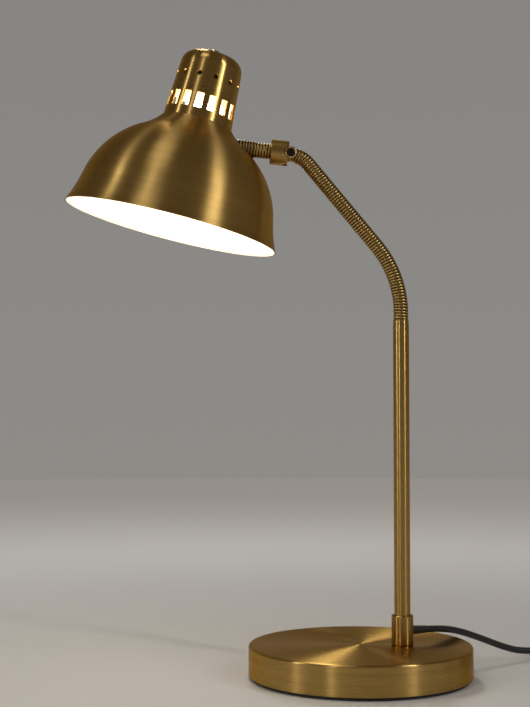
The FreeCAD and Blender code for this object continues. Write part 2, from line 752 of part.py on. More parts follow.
def neck_solid(start, end, ball_end):
    """A hollow stretch of the gooseneck between two distances, the first end cupped for a ball."""
    ball = value("Sizes.joint_ball")
    outside = value("Sizes.neck_diameter")
    shape = sweep(neck_wire(start, end), outside)
    reach = end
    if ball_end:
        reach = end + ball + 1
        nose = sweep(neck_wire(end, reach), outside).common(Part.makeSphere(ball, on_neck(end)[0]))
        shape = shape.fuse(nose)
    shape = shape.cut(sweep(neck_wire(max(start - 1, 0), reach), value("Sizes.neck_bore")))
    if start > 0:
        shape = shape.cut(Part.makeSphere(ball + value("Sizes.joint_gap"), on_neck(start)[0]))
    return shape.removeSplitter()


def make_neck():
    """The gooseneck, as short links that turn on each other, and the tongue at its end."""
    total = sum(stretch[3] for stretch in neck_stretches())
    step = value("Sizes.hinge_step")
    hinges = [value("Sizes.first_hinge") + step * number for number in range(6)]
    marks = [0] + hinges + [total]
    names = ["neck_root"] + [f"neck_link_{number}" for number in range(1, 6)] + ["neck_tip"]
    end_place = Vector(value("Places.neck_end_x"), 0, value("Places.neck_end_z"))
    end_lean = math.radians(value("Places.tip_lean"))
    back = Vector(math.sin(end_lean), 0, -math.cos(end_lean))
    spigot_space = Part.makeCylinder(value("Sizes.neck_bore") / 2, value("Sizes.tongue_spigot"), end_place, back)
    for name, start, end in zip(names, marks, marks[1:]):
        shape = neck_solid(start, end, ball_end=name != "neck_tip")
        keep(feature(name, shape.cut(spigot_space) if name == "neck_tip" else shape))
    for number, mark in enumerate(hinges, start=1):
        point, lean = on_neck(mark)
        print(f"neck hinge {number}: x {point.x:.4f} z {point.z:.4f} lean {lean:.4f}")
    print(f"tilt hinge: x {value('Places.hinge_x'):.4f} z {value('Places.hinge_z'):.4f}")
    spigot = cut(
        "tongue_spigot",
        put(
            cylinder("spigot_blank", "Sizes.neck_bore - 2 * Sizes.thread_gap", "Sizes.tongue_spigot + Sizes.tongue_flange"),
            NECK_END,
            "-Sizes.tongue_spigot",
        ),
        put(cylinder("spigot_bore", "Sizes.tongue_bore", "2 * Sizes.tongue_spigot"), NECK_END, "-2 * Sizes.tongue_spigot"),
    )
    flange = put(cylinder("tongue_flange", "Sizes.neck_diameter", "Sizes.tongue_flange"), NECK_END)
    strap = bind(
        doc.addObject("Part::Box", "tongue_strap"),
        Length="2 * Sizes.tongue_radius",
        Width="Sizes.tongue_thickness",
        Height="Sizes.tongue_reach",
    )
    put(strap, NECK_END, aside="-Sizes.tongue_radius", across="-Sizes.tongue_thickness / 2")
    half = "-Sizes.tongue_thickness / 2"
    eye = put(cylinder("tongue_eye", "2 * Sizes.tongue_radius", "Sizes.tongue_thickness"), HINGE, across=half, lying=True)
    pin_hole = cylinder("tongue_hole", "Sizes.pin_diameter + 2 * Sizes.pin_gap", "2 * Sizes.tongue_thickness")
    put(pin_hole, HINGE, across="-Sizes.tongue_thickness", lying=True)
    keep(cut("neck_tongue", fuse("tongue_blank", spigot, flange, strap, eye), pin_hole))


# ---------------------------------------------------------------- tilting joint


def across_cylinder(label, diameter, near, far):
    """A cylinder on the hinge axis between two places along Y."""
    piece = cylinder(label, diameter, f"({far}) - ({near})")
    return put(piece, HINGE, across=near, lying=True)


def make_hinge():
    """Barrel with two cheeks round the tongue, its end cap, the screw, cup washer and nut."""
    cheek_in = "(Sizes.tongue_thickness / 2 + Sizes.side_gap)"
    cheek_out = "Places.cheek_outside"
    round_body = put(cylinder("barrel_round", "Sizes.barrel_diameter", "Sizes.barrel_length"), HINGE, "Sizes.barrel_start")
    cheeks = across_cylinder("barrel_cheeks", "2 * Sizes.tongue_radius", f"-{cheek_out}", cheek_out)
    root = bind(
        doc.addObject("Part::Box", "cheek_root"),
        Length="2 * Sizes.tongue_radius",
        Width=f"2 * {cheek_out}",
        Height="Sizes.barrel_start + 1",
    )
    put(root, HINGE, aside="-Sizes.tongue_radius", across=f"-{cheek_out}")
    solid = fuse("barrel_solid", round_body, cheeks, root)
    slot = bind(
        doc.addObject("Part::Box", "barrel_slot"),
        Length="2 * Sizes.barrel_diameter",
        Width=f"2 * {cheek_in}",
        Height="Sizes.slot_depth + 3 * Sizes.tongue_radius",
    )
    put(slot, HINGE, "-3 * Sizes.tongue_radius", "-Sizes.barrel_diameter", f"-{cheek_in}")
    recess_width = "Sizes.cup_washer_diameter + 2 * Sizes.head_recess_gap"
    recesses = [
        across_cylinder("recess_front", recess_width, "-Sizes.barrel_diameter", f"-{cheek_out}"),
        across_cylinder("recess_back", recess_width, cheek_out, "Sizes.barrel_diameter"),
    ]
    pin_hole_width = "Sizes.pin_diameter"
    pin_hole = across_cylinder("cheek_hole", pin_hole_width, "-Sizes.barrel_diameter", "Sizes.barrel_diameter")
    cavity_start = "Sizes.slot_depth + Sizes.barrel_web"
    cavity = put(cylinder("barrel_cavity", "Sizes.barrel_cavity", "Sizes.barrel_length"), HINGE, cavity_start)
    lead_hole = put(cylinder("barrel_lead_bore", "Sizes.barrel_lead_hole", "Sizes.barrel_length"), HINGE, "Sizes.barrel_start")
    barrel = cut("hinge_barrel", solid, slot, *recesses, pin_hole, cavity, lead_hole)
    arm_hole = "Sizes.arm_diameter / 2 + Sizes.pin_gap"
    end_cap = turned(
        "barrel_cap",
        [
            (arm_hole, "-Sizes.cap_lip"),
            ("Sizes.barrel_cavity / 2 - Sizes.thread_gap", "-Sizes.cap_lip"),
            ("Sizes.barrel_cavity / 2 - Sizes.thread_gap", "0"),
            ("Sizes.barrel_diameter / 2", "0"),
            ("Sizes.barrel_diameter / 2", "Sizes.cap_length - Sizes.barrel_chamfer"),
            ("Sizes.barrel_diameter / 2 - Sizes.barrel_chamfer", "Sizes.cap_length"),
            (arm_hole, "Sizes.cap_length"),
        ],
    )
    put(end_cap, HINGE, "Places.barrel_end")
    cup_outside = f"({cheek_out} + Sizes.cup_washer_height)"
    head_foot = f"({cheek_out} + Sizes.cup_floor)"
    cup_blank = across_cylinder("cup_blank", "Sizes.cup_washer_diameter", f"-{cup_outside}", f"-{cheek_out}")
    cup_round = doc.addObject("Part::Torus", "cup_round")
    bind(cup_round, Radius1="Sizes.cup_washer_diameter / 2 - Sizes.cup_edge", Radius2="Sizes.cup_edge")
    put(cup_round, HINGE, across=f"-{cup_outside}", lying=True)
    cup_well = across_cylinder("cup_well", "Sizes.screw_head_diameter + 0.1", f"-{cup_outside} - 2", f"-{head_foot}")
    cup_hole = across_cylinder("cup_hole", "Sizes.pin_diameter", f"-{cup_outside} - 2", "0")
    cup = cut("hinge_cup_washer", fuse("cup_body", cup_blank, cup_round), cup_well, cup_hole)
    head_top = f"({head_foot} + Sizes.screw_head_height)"
    nut_top = f"({cheek_out} + Sizes.hinge_nut_height)"
    shank = across_cylinder("screw_shank", "Sizes.pin_diameter", f"-{head_foot}", nut_top)
    head = across_cylinder("screw_head", "Sizes.screw_head_diameter", f"-{head_top}", f"-{head_foot}")
    socket = prism("hex_socket", "Sizes.screw_socket", "2 * Sizes.screw_socket_depth")
    put(socket, HINGE, across=f"-{head_top} - Sizes.screw_socket_depth", lying=True)
    screw = cut("hinge_screw", fuse("screw_blank", shank, head), socket)
    nut_blank = prism("hinge_nut_blank", "Sizes.hinge_nut_flats", "Sizes.hinge_nut_height")
    put(nut_blank, HINGE, across=cheek_out, lying=True)
    nut_hole = across_cylinder("hinge_nut_hole", pin_hole_width, "0", "Sizes.barrel_diameter")
    keep(barrel, end_cap, cup, screw, cut("hinge_nut", nut_blank, nut_hole))


# ---------------------------------------------------------------- arm of the shade


def arm_cylinder(label, diameter, near, far):
    """A cylinder on the axis of the arm between two distances from the hinge."""
    return put(cylinder(label, diameter, f"({far}) - ({near})"), HINGE, near)


def ribbed_sleeve(outside, bore, length, pitch=2.38):
    """A sleeve of round rings side by side, on its own Z."""
    ring = pitch / 2
    count = max(1, round(length / pitch))
    step = length / count
    profile = [Part.LineSegment(Vector(bore / 2, 0, length), Vector(bore / 2, 0, 0)).toShape()]
    valley = outside / 2 - ring * 0.7
    profile.append(Part.LineSegment(Vector(bore / 2, 0, 0), Vector(valley, 0, 0)).toShape())
    for number in range(count):
        low = Vector(valley, 0, number * step)
        crest = Vector(outside / 2, 0, (number + 0.5) * step)
        high = Vector(valley, 0, (number + 1) * step)
        profile.append(Part.Arc(low, crest, high).toShape())
    profile.append(Part.LineSegment(Vector(valley, 0, length), Vector(bore / 2, 0, length)).toShape())
    face = Part.Face(Part.Wire(profile))
    return face.revolve(Vector(0, 0, 0), UP, 360)


def make_arm(dome_outside, dome_inside):
    """The tube that carries the shade, its ribbed sleeve, and the washers and nuts on it."""
    fit = "2 * Sizes.thread_gap"
    nut_near = "Sizes.slot_depth + Sizes.barrel_web + Sizes.joint_gap"
    nut_far = "Places.barrel_end - Sizes.cap_lip - Sizes.joint_gap"
    swivel_nut = cut(
        "swivel_nut",
        arm_cylinder("swivel_blank", "Sizes.barrel_cavity - 2 * Sizes.joint_gap", nut_near, nut_far),
        arm_cylinder("swivel_hole", "Sizes.arm_diameter", "0", "Places.barrel_end"),
    )
    tube = cut(
        "arm_tube",
        arm_cylinder("arm_blank", "Sizes.arm_diameter", nut_near, "Places.arm_end"),
        arm_cylinder("arm_hole", "Sizes.arm_bore", "0", "Places.arm_end + 1"),
    )
    coil_start = "Places.arm_start + Sizes.joint_gap"
    coil_length = value(f"Places.sleeve_end - ({coil_start})")
    coil_shape = ribbed_sleeve(value("Sizes.arm_coil_diameter"), value(f"Sizes.arm_diameter + {fit}"), coil_length)
    coil = put(feature("arm_coil", coil_shape), HINGE, coil_start)
    seat_start = "Places.sleeve_end"
    seat = cut(
        "arm_seat",
        arm_cylinder("seat_blank", "Sizes.arm_seat_diameter", seat_start, "Places.arm_end"),
        dome_outside,
        arm_cylinder("seat_hole", f"Sizes.arm_diameter + {fit}", "0", "Places.arm_end + 1"),
    )
    inner_blank = arm_cylinder("inner_seat_blank", "Sizes.arm_inner_seat_diameter", seat_start, "Places.arm_seat_end")
    inner_hole = arm_cylinder("inner_seat_hole", f"Sizes.arm_diameter + {fit}", "0", "Places.arm_end + 1")
    inner_seat = cut("arm_inner_seat", common("inner_seat_shape", inner_blank, dome_inside), inner_hole)
    nut_blank = prism("inner_nut_blank", "Sizes.arm_nut_flats", "Sizes.arm_nut_height")
    inner_nut = cut(
        "arm_inner_nut",
        put(nut_blank, HINGE, "Places.arm_seat_end"),
        arm_cylinder("inner_nut_hole", "Sizes.arm_diameter", "Sizes.arm_reach", "Places.arm_end"),
    )
    keep(swivel_nut, tube, coil, seat, inner_seat, inner_nut)


# ---------------------------------------------------------------- shade


def dome_profile(depth):
    """The dome's outline, a depth inside its outer skin: lip, dome and shoulder arcs, then the cap's seat."""
    curve = f"(Sizes.dome_curve - {depth})"
    lip = f"(Sizes.lip_radius + {depth})"
    sweep_curve = f"(Sizes.shoulder_curve + {depth})"
    lip_start = f"(Places.lip_end_radius + Sizes.lip_radius * sin(Places.dome_angle))"
    rim = f"({lip_start} - sqrt(pow({lip}; 2) - pow(Sizes.lip_height + Sizes.lip_radius * cos(Places.dome_angle); 2)))"
    return [
        (rim, "0", lip, "right"),
        (
            f"Sizes.dome_centre_radius + {curve} * sin(Places.dome_angle)",
            f"Sizes.dome_centre_height + {curve} * cos(Places.dome_angle)",
            curve,
            "left",
        ),
        (
            f"Sizes.dome_centre_radius + {curve} * sin(Sizes.shoulder_angle)",
            f"Sizes.dome_centre_height + {curve} * cos(Sizes.shoulder_angle)",
            sweep_curve,
            "right",
        ),
        (
            f"Places.sweep_radius - {sweep_curve} * sin(Sizes.neck_angle)",
            f"Places.sweep_height - {sweep_curve} * cos(Sizes.neck_angle)",
        ),
    ]


def cap_radius(height, depth):
    """The cap's radius at a height above its foot, a depth inside its outer skin."""
    return f"(Sizes.cap_foot_radius - ({height}) * tan(Sizes.cap_taper) - ({depth}) / cos(Sizes.cap_taper))"


def make_shade():
    """Spun dome: brass outside, white inside, with a tapered neck that the vent cap sits on."""
    neck_top = "Places.cap_foot + Sizes.shade_neck_height"
    seat = [
        (cap_radius("0", "Sizes.shade_wall"), "Places.cap_foot"),
        (cap_radius("Sizes.shade_neck_height", "Sizes.shade_wall"), neck_top),
        ("0", neck_top),
        ("0", "0"),
    ]
    outside = put(turned("dome_outside", dome_profile("0") + seat), SHADE)
    inner_top = f"{neck_top} + 1"
    well = [
        (cap_radius("0", "2 * Sizes.shade_wall"), "Places.cap_foot - Sizes.shade_wall"),
        (cap_radius("Sizes.shade_neck_height + 1", "2 * Sizes.shade_wall"), inner_top),
        ("0", inner_top),
        ("0", "0"),
    ]
    inside = put(turned("dome_inside", dome_profile("Sizes.shade_wall") + well), SHADE)
    arm_hole = arm_cylinder("dome_arm_hole", "Sizes.arm_diameter + 0.4", "Places.arm_start", "Places.arm_end")
    dome = cut("shade_dome", outside, inside, arm_hole)
    keep(dome)
    return outside, inside


def make_cap():
    """Vent cap: a tapered cup with a ring of slots and a ring of round holes, held by a small finial."""
    height = "Sizes.cap_height"
    wall = "Sizes.shade_wall"
    straight = f"({height} - Sizes.cap_round)"
    shoulder = cap_radius(straight, "0")
    cap = turned(
        "vent_cap",
        [
            (cap_radius("0", wall), "0"),
            (cap_radius("0", "0"), "0"),
            (shoulder, straight, "Sizes.cap_round", "left"),
            (f"{shoulder} - Sizes.cap_round", height),
            ("Sizes.stud_diameter / 2 + Sizes.thread_gap", height),
            ("Sizes.stud_diameter / 2 + Sizes.thread_gap", f"{height} - {wall}"),
            (f"{shoulder} - Sizes.cap_round", f"{height} - {wall}", f"Sizes.cap_round - {wall}", "right"),
            (f"{shoulder} - {wall}", straight),
        ],
    )
    openings = [
        ("slot", "Sizes.slot_count", "Sizes.slot_phase", "Sizes.slot_middle", "Sizes.slot_width", "Sizes.slot_length"),
        ("hole", "Sizes.hole_count", "Sizes.hole_phase", "Sizes.hole_middle", "Sizes.hole_diameter", None),
    ]
    for name, count, phase, middle, width, length in openings:
        before = cap.Shape.Volume
        sketch = new_sketch(cap, f"{name}_outline")
        sketch.AttachmentOffset = Placement(Vector(0, 0, 0), Rotation(ACROSS, 1))
        sketch.setExpression("AttachmentOffset.Rotation.Angle", phase)
        if length:
            corner = "Sizes.slot_corner"
            half_wide = f"{width} / 2"
            low = f"{middle} - {length} / 2"
            high = f"{middle} + {length} / 2"
            draw(
                sketch,
                [
                    (f"-{half_wide} + {corner}", low),
                    (f"{half_wide} - {corner}", low, corner, "left"),
                    (half_wide, f"{low} + {corner}"),
                    (half_wide, f"{high} - {corner}", corner, "left"),
                    (f"{half_wide} - {corner}", high),
                    (f"-{half_wide} + {corner}", high, corner, "left"),
                    (f"-{half_wide}", f"{high} - {corner}"),
                    (f"-{half_wide}", f"{low} + {corner}", corner, "left"),
                ],
            )
        else:
            circle = sketch.addGeometry(Part.Circle(Vector(0, value(middle), 0), UP, value(width) / 2), False)
            sketch.addConstraint(Sketcher.Constraint("PointOnObject", circle, 3, -2))
            drop = sketch.addConstraint(Sketcher.Constraint("DistanceY", -1, 1, circle, 3, value(middle)))
            sketch.setExpression(f"Constraints[{drop}]", middle)
            wide = sketch.addConstraint(Sketcher.Constraint("Diameter", circle, value(width)))
            sketch.setExpression(f"Constraints[{wide}]", width)
        pocket = cap.newObject("PartDesign::Pocket", f"{name}_pocket")
        pocket.Profile = sketch
        pocket.Type = "ThroughAll"
        doc.recompute()
        ring = cap.newObject("PartDesign::PolarPattern", f"{name}_ring")
        ring.Originals = [pocket]
        ring.Axis = (plane_of(cap, "Z_Axis"), [""])
        ring.Angle = 360
        ring.setExpression("Occurrences", count)
        cap.Tip = ring
        doc.recompute()
        removed = before - cap.Shape.Volume
        wanted = value(count) * value(width) * value(length or width) * value(wall)
        if not 0.6 * wanted < removed < 1.2 * wanted:
            raise ValueError(f"the {name} openings removed {removed:.1f} instead of about {wanted:.1f}")
    put(cap, SHADE, "Places.cap_foot")
    finial = turned(
        "cap_finial",
        [
            ("0", "0"),
            ("Sizes.finial_diameter / 2", "0"),
            ("Sizes.finial_diameter / 2", "Sizes.finial_height / 2", "Sizes.finial_height / 2", "left"),
            ("Sizes.finial_diameter / 2 - Sizes.finial_height / 2", "Sizes.finial_height"),
            ("0", "Sizes.finial_height"),
        ],
    )
    put(finial, SHADE, "Places.cap_top")
    stud_foot = "Places.holder_top - Sizes.stud_grip"
    stud = put(cylinder("holder_stud", "Sizes.stud_diameter", f"Places.cap_top - ({stud_foot})"), SHADE, stud_foot)
    keep(cap, finial, stud)
    return stud


# ---------------------------------------------------------------- lampholder and bulb


def make_light(stud):
    """Lampholder hung in the cap, with its screwed insert, and the bulb."""
    holder_blank = turned(
        "holder_blank",
        [
            ("Sizes.holder_bore", "0"),
            ("Sizes.holder_radius", "0"),
            ("Sizes.holder_radius", "Sizes.holder_shoulder"),
            ("Sizes.holder_top_radius", "Sizes.holder_height - Sizes.holder_neck"),
            ("Sizes.holder_top_radius", "Sizes.holder_height"),
            ("0", "Sizes.holder_height"),
            ("0", "Sizes.holder_bore_depth"),
            ("Sizes.holder_bore", "Sizes.holder_bore_depth"),
        ],
    )
    holder = cut("holder_body", put(holder_blank, SHADE, "Places.holder_foot"), stud)
    insert = turned(
        "holder_shell",
        [
            ("Sizes.holder_bore - Sizes.insert_wall", "Sizes.insert_foot"),
            ("Sizes.holder_bore", "Sizes.insert_foot"),
            ("Sizes.holder_bore", "Sizes.holder_bore_depth"),
            ("Sizes.holder_bore - Sizes.insert_wall", "Sizes.holder_bore_depth"),
        ],
    )
    put(insert, SHADE, "Places.holder_foot")
    cap_top = "Sizes.bulb_cap_height"
    screw_cap = turned(
        "bulb_screw_cap",
        [
            ("0", "0"),
            ("Sizes.bulb_cap_radius", "0"),
            ("Sizes.bulb_cap_radius", f"{cap_top} - Sizes.bulb_cap_taper_height"),
            ("Sizes.bulb_cap_radius - Sizes.bulb_cap_taper", cap_top),
            ("0", cap_top),
        ],
    )
    put(screw_cap, SHADE, "Places.bulb_cap_foot")
    contact = cylinder("bulb_contact", "Sizes.bulb_cap_radius", "Sizes.bulb_contact_height")
    put(contact, SHADE, f"Places.bulb_cap_foot + {cap_top}")
    middle = "(Sizes.bulb_radius - Sizes.bulb_length)"
    round_out = "Sizes.bulb_radius"
    round_in = "(Sizes.bulb_radius - Sizes.glass_wall)"
    neck_out = "Sizes.bulb_neck_radius"
    neck_in = "(Sizes.bulb_neck_radius - Sizes.glass_wall)"
    join = "50"
    glass = turned(
        "bulb_glass",
        [
            ("0", f"{middle} - {round_out}", round_out, "left"),
            (f"{round_out} * sin({join})", f"{middle} + {round_out} * cos({join})"),
            (neck_out, "-Sizes.bulb_neck_height"),
            ("Sizes.bulb_cap_radius", "0"),
            ("Sizes.bulb_cap_radius - Sizes.glass_wall", "0"),
            (neck_in, "-Sizes.bulb_neck_height"),
            (f"{round_in} * sin({join})", f"{middle} + {round_in} * cos({join})", round_in, "right"),
            ("0", f"{middle} - {round_in}"),
        ],
    )
    put(glass, SHADE, "Places.bulb_cap_foot")
    keep(holder, insert, screw_cap, contact, glass)
    make_shade_lead()


def make_shade_lead():
    """The lead from the end of the arm tube up the inside of the shade to the lampholder."""
    turn = math.radians(value("Sizes.shade_lean"))
    rim = Vector(value("Places.rim_x"), 0, value("Places.rim_z"))
    outward = Vector(math.cos(turn), 0, -math.sin(turn))
    upward = Vector(math.sin(turn), 0, math.cos(turn))
    lean = math.radians(value("Sizes.arm_lean"))
    along_arm = Vector(-math.sin(lean), 0, math.cos(lean))
    hinge = Vector(value("Places.hinge_x"), 0, value("Places.hinge_z"))
    start = hinge + along_arm * value("Places.arm_end - Sizes.shade_lead_grip")
    rise_radius = value("Sizes.shade_lead_radius")
    reach = ((start - rim).dot(outward) - rise_radius) / -along_arm.dot(outward)
    first = start + along_arm * reach
    bend_height = value("Places.cap_foot + Sizes.shade_neck_height + Sizes.shade_lead_rise")
    second = rim + outward * rise_radius + upward * bend_height
    side = value("Sizes.holder_radius - Sizes.insert_wall")
    bend = value("Sizes.shade_lead_bend")
    end = rim + outward * side + upward * value("Places.holder_foot + Sizes.shade_lead_entry")
    wire, _ = tube_path([start, first, second, end], lambda before, after, half_turn: bend)
    lead = feature("shade_lead_blank", sweep(wire, value("Sizes.shade_lead_diameter")))
    holder_space = cylinder("holder_space", "2 * Sizes.holder_radius", "Sizes.holder_height")
    keep(cut("shade_lead", lead, put(holder_space, SHADE, "Places.holder_foot")))


# ---------------------------------------------------------------- mains cord


def laid_cord(label, corners):
    """One free stretch of the cord, each arc as large as its two runs allow."""
    wire, radii = tube_path(corners, lambda before, after, half: 0.45 * min(before, after) / math.tan(half))
    print(f"{label}: {wire.Length:.1f} mm, radii " + " ".join(f"{radius:.0f}" for radius in radii))
    keep(feature(label, sweep(wire, value("Sizes.cord_diameter"))))


def heading_frame(start, heading):
    """A placement on the desk with its X along a heading."""
    return Placement(Vector(*start), Rotation(UP, heading))


def box(label, length, width, height, along, aside, up, frame):
    """A box in a frame on the desk, centred aside."""
    piece = bind(doc.addObject("Part::Box", label), Length=length, Width=width, Height=height)
    piece.Placement = frame.multiply(Placement(Vector(value(along), value(aside), value(up)), Rotation()))
    return piece


def upright(label, diameter, height, along, aside, up, frame):
    """A vertical cylinder in a frame on the desk."""
    piece = cylinder(label, diameter, height)
    piece.Placement = frame.multiply(Placement(Vector(value(along), value(aside), value(up)), Rotation()))
    return piece


def rounded(label, base, radius):
    """Fillet the four upright edges of a box."""
    doc.recompute()
    piece = doc.addObject("Part::Fillet", label)
    piece.Base = base
    size = value(radius)
    upright_edges = []
    for number, edge in enumerate(base.Shape.Edges, start=1):
        if abs(edge.BoundBox.ZLength - base.Shape.BoundBox.ZLength) < 0.01:
            upright_edges.append((number, size, size))
    piece.Edges = upright_edges
    return piece


def make_switch():
    """In-line rocker switch: two halves, two screws and a rocker on a pin."""
    frame = heading_frame((SWITCH_START[0], SWITCH_START[1], 0), value("Sizes.switch_heading"))
    middle = "Sizes.switch_length / 2"
    half_width = "-Sizes.switch_width / 2"
    split = "Sizes.switch_height / 2"
    cavity_along = f"({middle} - Sizes.switch_cavity_length / 2)"
    cavity_aside = "-Sizes.switch_cavity_width / 2"
    screws = []
    for name, side in (("near", -1), ("far", 1)):
        place = f"{middle} + {side} * Sizes.switch_screw_spread"
        sink = "Sizes.switch_screw_sink"
        reach = f"{split} + Sizes.switch_screw_grip - {sink}"
        head = upright(
            f"screw_head_{name}", "Sizes.switch_screw_head", "Sizes.switch_screw_head_height", place, "0", sink, frame
        )
        stem = upright(f"screw_stem_{name}", "Sizes.switch_screw_diameter", reach, place, "0", sink, frame)
        screws.append(fuse(f"switch_screw_{name}", head, stem))
    holes = fuse("switch_screw_space", *screws)
    lower_block = box("lower_block", "Sizes.switch_length", "Sizes.switch_width", split, "0", half_width, "0", frame)
    lower_space = box(
        "lower_space", "Sizes.switch_cavity_length", "Sizes.switch_cavity_width", split,
        cavity_along, cavity_aside, "Sizes.switch_floor", frame,
    )
    lower = cut("switch_lower", rounded("lower_case", lower_block, "Sizes.switch_round"), lower_space, holes)
    upper_block = box("upper_block", "Sizes.switch_length", "Sizes.switch_width", split, "0", half_width, split, frame)
    upper_space = box(
        "upper_space", "Sizes.switch_cavity_length", "Sizes.switch_cavity_width", f"{split} - Sizes.switch_floor",
        cavity_along, cavity_aside, split, frame,
    )
    window = box(
        "switch_window", "Sizes.rocker_length + 2 * Sizes.rocker_gap", "Sizes.rocker_width + 2 * Sizes.rocker_gap",
        "Sizes.switch_height", f"{middle} - Sizes.rocker_length / 2 - Sizes.rocker_gap",
        "-Sizes.rocker_width / 2 - Sizes.rocker_gap", split, frame,
    )
    pin_place = Vector(
        value(middle), value("Sizes.rocker_pin_inset - Sizes.switch_width / 2"), value("Sizes.rocker_pivot_height")
    )
    pin_turn = Rotation(Vector(-1, 0, 0), 90)
    pin_length = "Sizes.switch_width - 2 * Sizes.rocker_pin_inset"
    pin_space = cylinder("rocker_pin_space", "Sizes.rocker_pin_diameter + 2 * Sizes.pin_gap", pin_length)
    pin_space.Placement = frame.multiply(Placement(pin_place, pin_turn))
    upper = cut(
        "switch_upper", rounded("upper_case", upper_block, "Sizes.switch_round"), upper_space, window, pin_space, holes
    )
    pin = cylinder("rocker_pin", "Sizes.rocker_pin_diameter", f"{pin_length} - 2 * Sizes.rocker_pin_gap")
    pin.Placement = frame.multiply(Placement(pin_place + Vector(0, value("Sizes.rocker_pin_gap"), 0), pin_turn))
    crown_radius = value("2.2 * Sizes.rocker_length")
    crown_height = value("Sizes.rocker_crown")
    body_foot = "Sizes.rocker_pivot_height - Sizes.rocker_drop"
    block = box(
        "rocker_block", "Sizes.rocker_length", "Sizes.rocker_width", f"Sizes.rocker_crown + 2 - ({body_foot})",
        f"{middle} - Sizes.rocker_length / 2", "-Sizes.rocker_width / 2", body_foot, frame,
    )
    ends = cylinder("rocker_ends", "Sizes.rocker_length", "Sizes.rocker_width")
    ends.Placement = frame.multiply(
        Placement(Vector(value(middle), value("-Sizes.rocker_width / 2"), value("Sizes.rocker_pivot_height")), pin_turn)
    )
    hollow = feature(
        "rocker_dish",
        Part.makeCylinder(crown_radius, value("Sizes.rocker_width") + 4),
        frame.multiply(
            Placement(Vector(value(middle), value("-Sizes.rocker_width / 2") - 2, crown_height + crown_radius - value("Sizes.rocker_dish")), pin_turn)
        ),
    )
    rocker_blank = common("rocker_round", block, ends)
    level = fuse("rocker_level", cut("rocker_dished", rocker_blank, hollow), pin)
    doc.recompute()
    hinge_place = frame.multVec(pin_place)
    hinge_axis = frame.Rotation.multVec(ACROSS)
    tipped = level.Shape.rotated(hinge_place, hinge_axis, value("Sizes.rocker_tilt"))
    rocker = feature("switch_rocker", tipped)
    print(f"rocker hinge: {hinge_place.x:.4f} {hinge_place.y:.4f} {hinge_place.z:.4f}")
    group = doc.addObject("Part::Compound", "switch_screws")
    group.Links = screws
    keep(lower, upper, rocker, group)


def make_plug():
    """Flat two-pin plug, lying on the desk."""
    frame = heading_frame((PLUG_START[0], PLUG_START[1], 0), value("Sizes.plug_heading"))
    half = value("Sizes.plug_width") / 2
    tail = value("Sizes.plug_tail_width") / 2
    length = value("Sizes.plug_length")
    outline = [
        Vector(0, -tail, 0),
        Vector(length * 0.3, -tail, 0),
        Vector(length * 0.62, -half, 0),
        Vector(length, -half, 0),
        Vector(length, half, 0),
        Vector(length * 0.62, half, 0),
        Vector(length * 0.3, tail, 0),
        Vector(0, tail, 0),
    ]
    face = Part.Face(Part.makePolygon(outline + outline[:1]))
    solid = face.extrude(Vector(0, 0, value("Sizes.plug_thickness")))
    long_edges = [edge for edge in solid.Edges if edge.BoundBox.ZLength < 0.01]
    body = feature("plug_body", solid.makeFillet(value("Sizes.plug_edge"), long_edges), frame)
    pins = []
    for side in (-1, 1):
        pin = cylinder(f"plug_pin_{side + 2}", "Sizes.plug_pin_diameter", "Sizes.plug_pin_length")
        aside = side * value("Sizes.plug_pin_spread") / 2
        place = Placement(Vector(length, aside, value("Sizes.plug_thickness") / 2), Rotation(ACROSS, 90))
        pin.Placement = frame.multiply(place)
        pins.append(pin)
    group = doc.addObject("Part::Compound", "plug_pins")
    group.Links = pins
    keep(body, group)


def make_cord():
    """The free mains cord: seen stretch, switch, a put-away coil and the plug."""
    exit_face = value("Sizes.collar_diameter / 2 + Sizes.relief_face_gap + Sizes.relief_length")
    exit_route = [tuple(relief_placement(exit_face + run).Base) for run in (0, CORD_EXIT_RUN)]
    along = Rotation(UP, value("Sizes.switch_heading")).multVec(Vector(1, 0, 0))
    entry = Vector(*SWITCH_START)
    laid_cord("cord_lamp_side", exit_route + LAMP_SIDE_ROUTE + [tuple(entry - along * STRAIGHT_RUN), tuple(entry)])
    make_switch()
    leaving = entry + along * value("Sizes.switch_length")
    leaving_route = [tuple(leaving), tuple(leaving + along * STRAIGHT_RUN)]
    laid_cord("cord_switch_side", leaving_route + SWITCH_SIDE_CORNERS + [COIL_ENTRY])
    half = "Sizes.coil_thickness / 2"
    outer = f"Sizes.coil_radius + {half}"
    inner = f"Sizes.coil_radius - {half}"
    top = "Sizes.coil_thickness"
    corner = "Sizes.coil_round"
    coil = turned(
        "cord_coil",
        [
            (f"{inner} + {corner}", "0"),
            (f"{outer} - {corner}", "0", corner, "left"),
            (outer, corner),
            (outer, f"{top} - {corner}", corner, "left"),
            (f"{outer} - {corner}", top),
            (f"{inner} + {corner}", top, corner, "left"),
            (inner, f"{top} - {corner}"),
            (inner, corner, corner, "left"),
        ],
    )
    coil.Placement = Placement(Vector(*COIL_CENTRE, 0), Rotation())
    keep(coil)
    plug_along = Rotation(UP, value("Sizes.plug_heading")).multVec(Vector(1, 0, 0))
    plug_end = Vector(*PLUG_START)
    laid_cord("cord_plug_side", PLUG_SIDE_ROUTE + [tuple(plug_end - plug_along * STRAIGHT_RUN), tuple(plug_end)])
    make_plug()


# ---------------------------------------------------------------- make, check and write


def check_all():
    """Stop if an object of the document failed, or a sub-part isn't sound."""
    for item in doc.Objects:
        if "Invalid" in item.State or "Error" in item.State:
            raise ValueError(f"{item.Label} failed: {item.State}")
    for piece in nodes:
        shape = piece.Shape
        if shape.isNull() or not shape.isValid() or not shape.Solids:
            raise ValueError(f"{piece.Label} has no sound shape")
        if shape.Volume <= 0:
            raise ValueError(f"{piece.Label} has no volume")


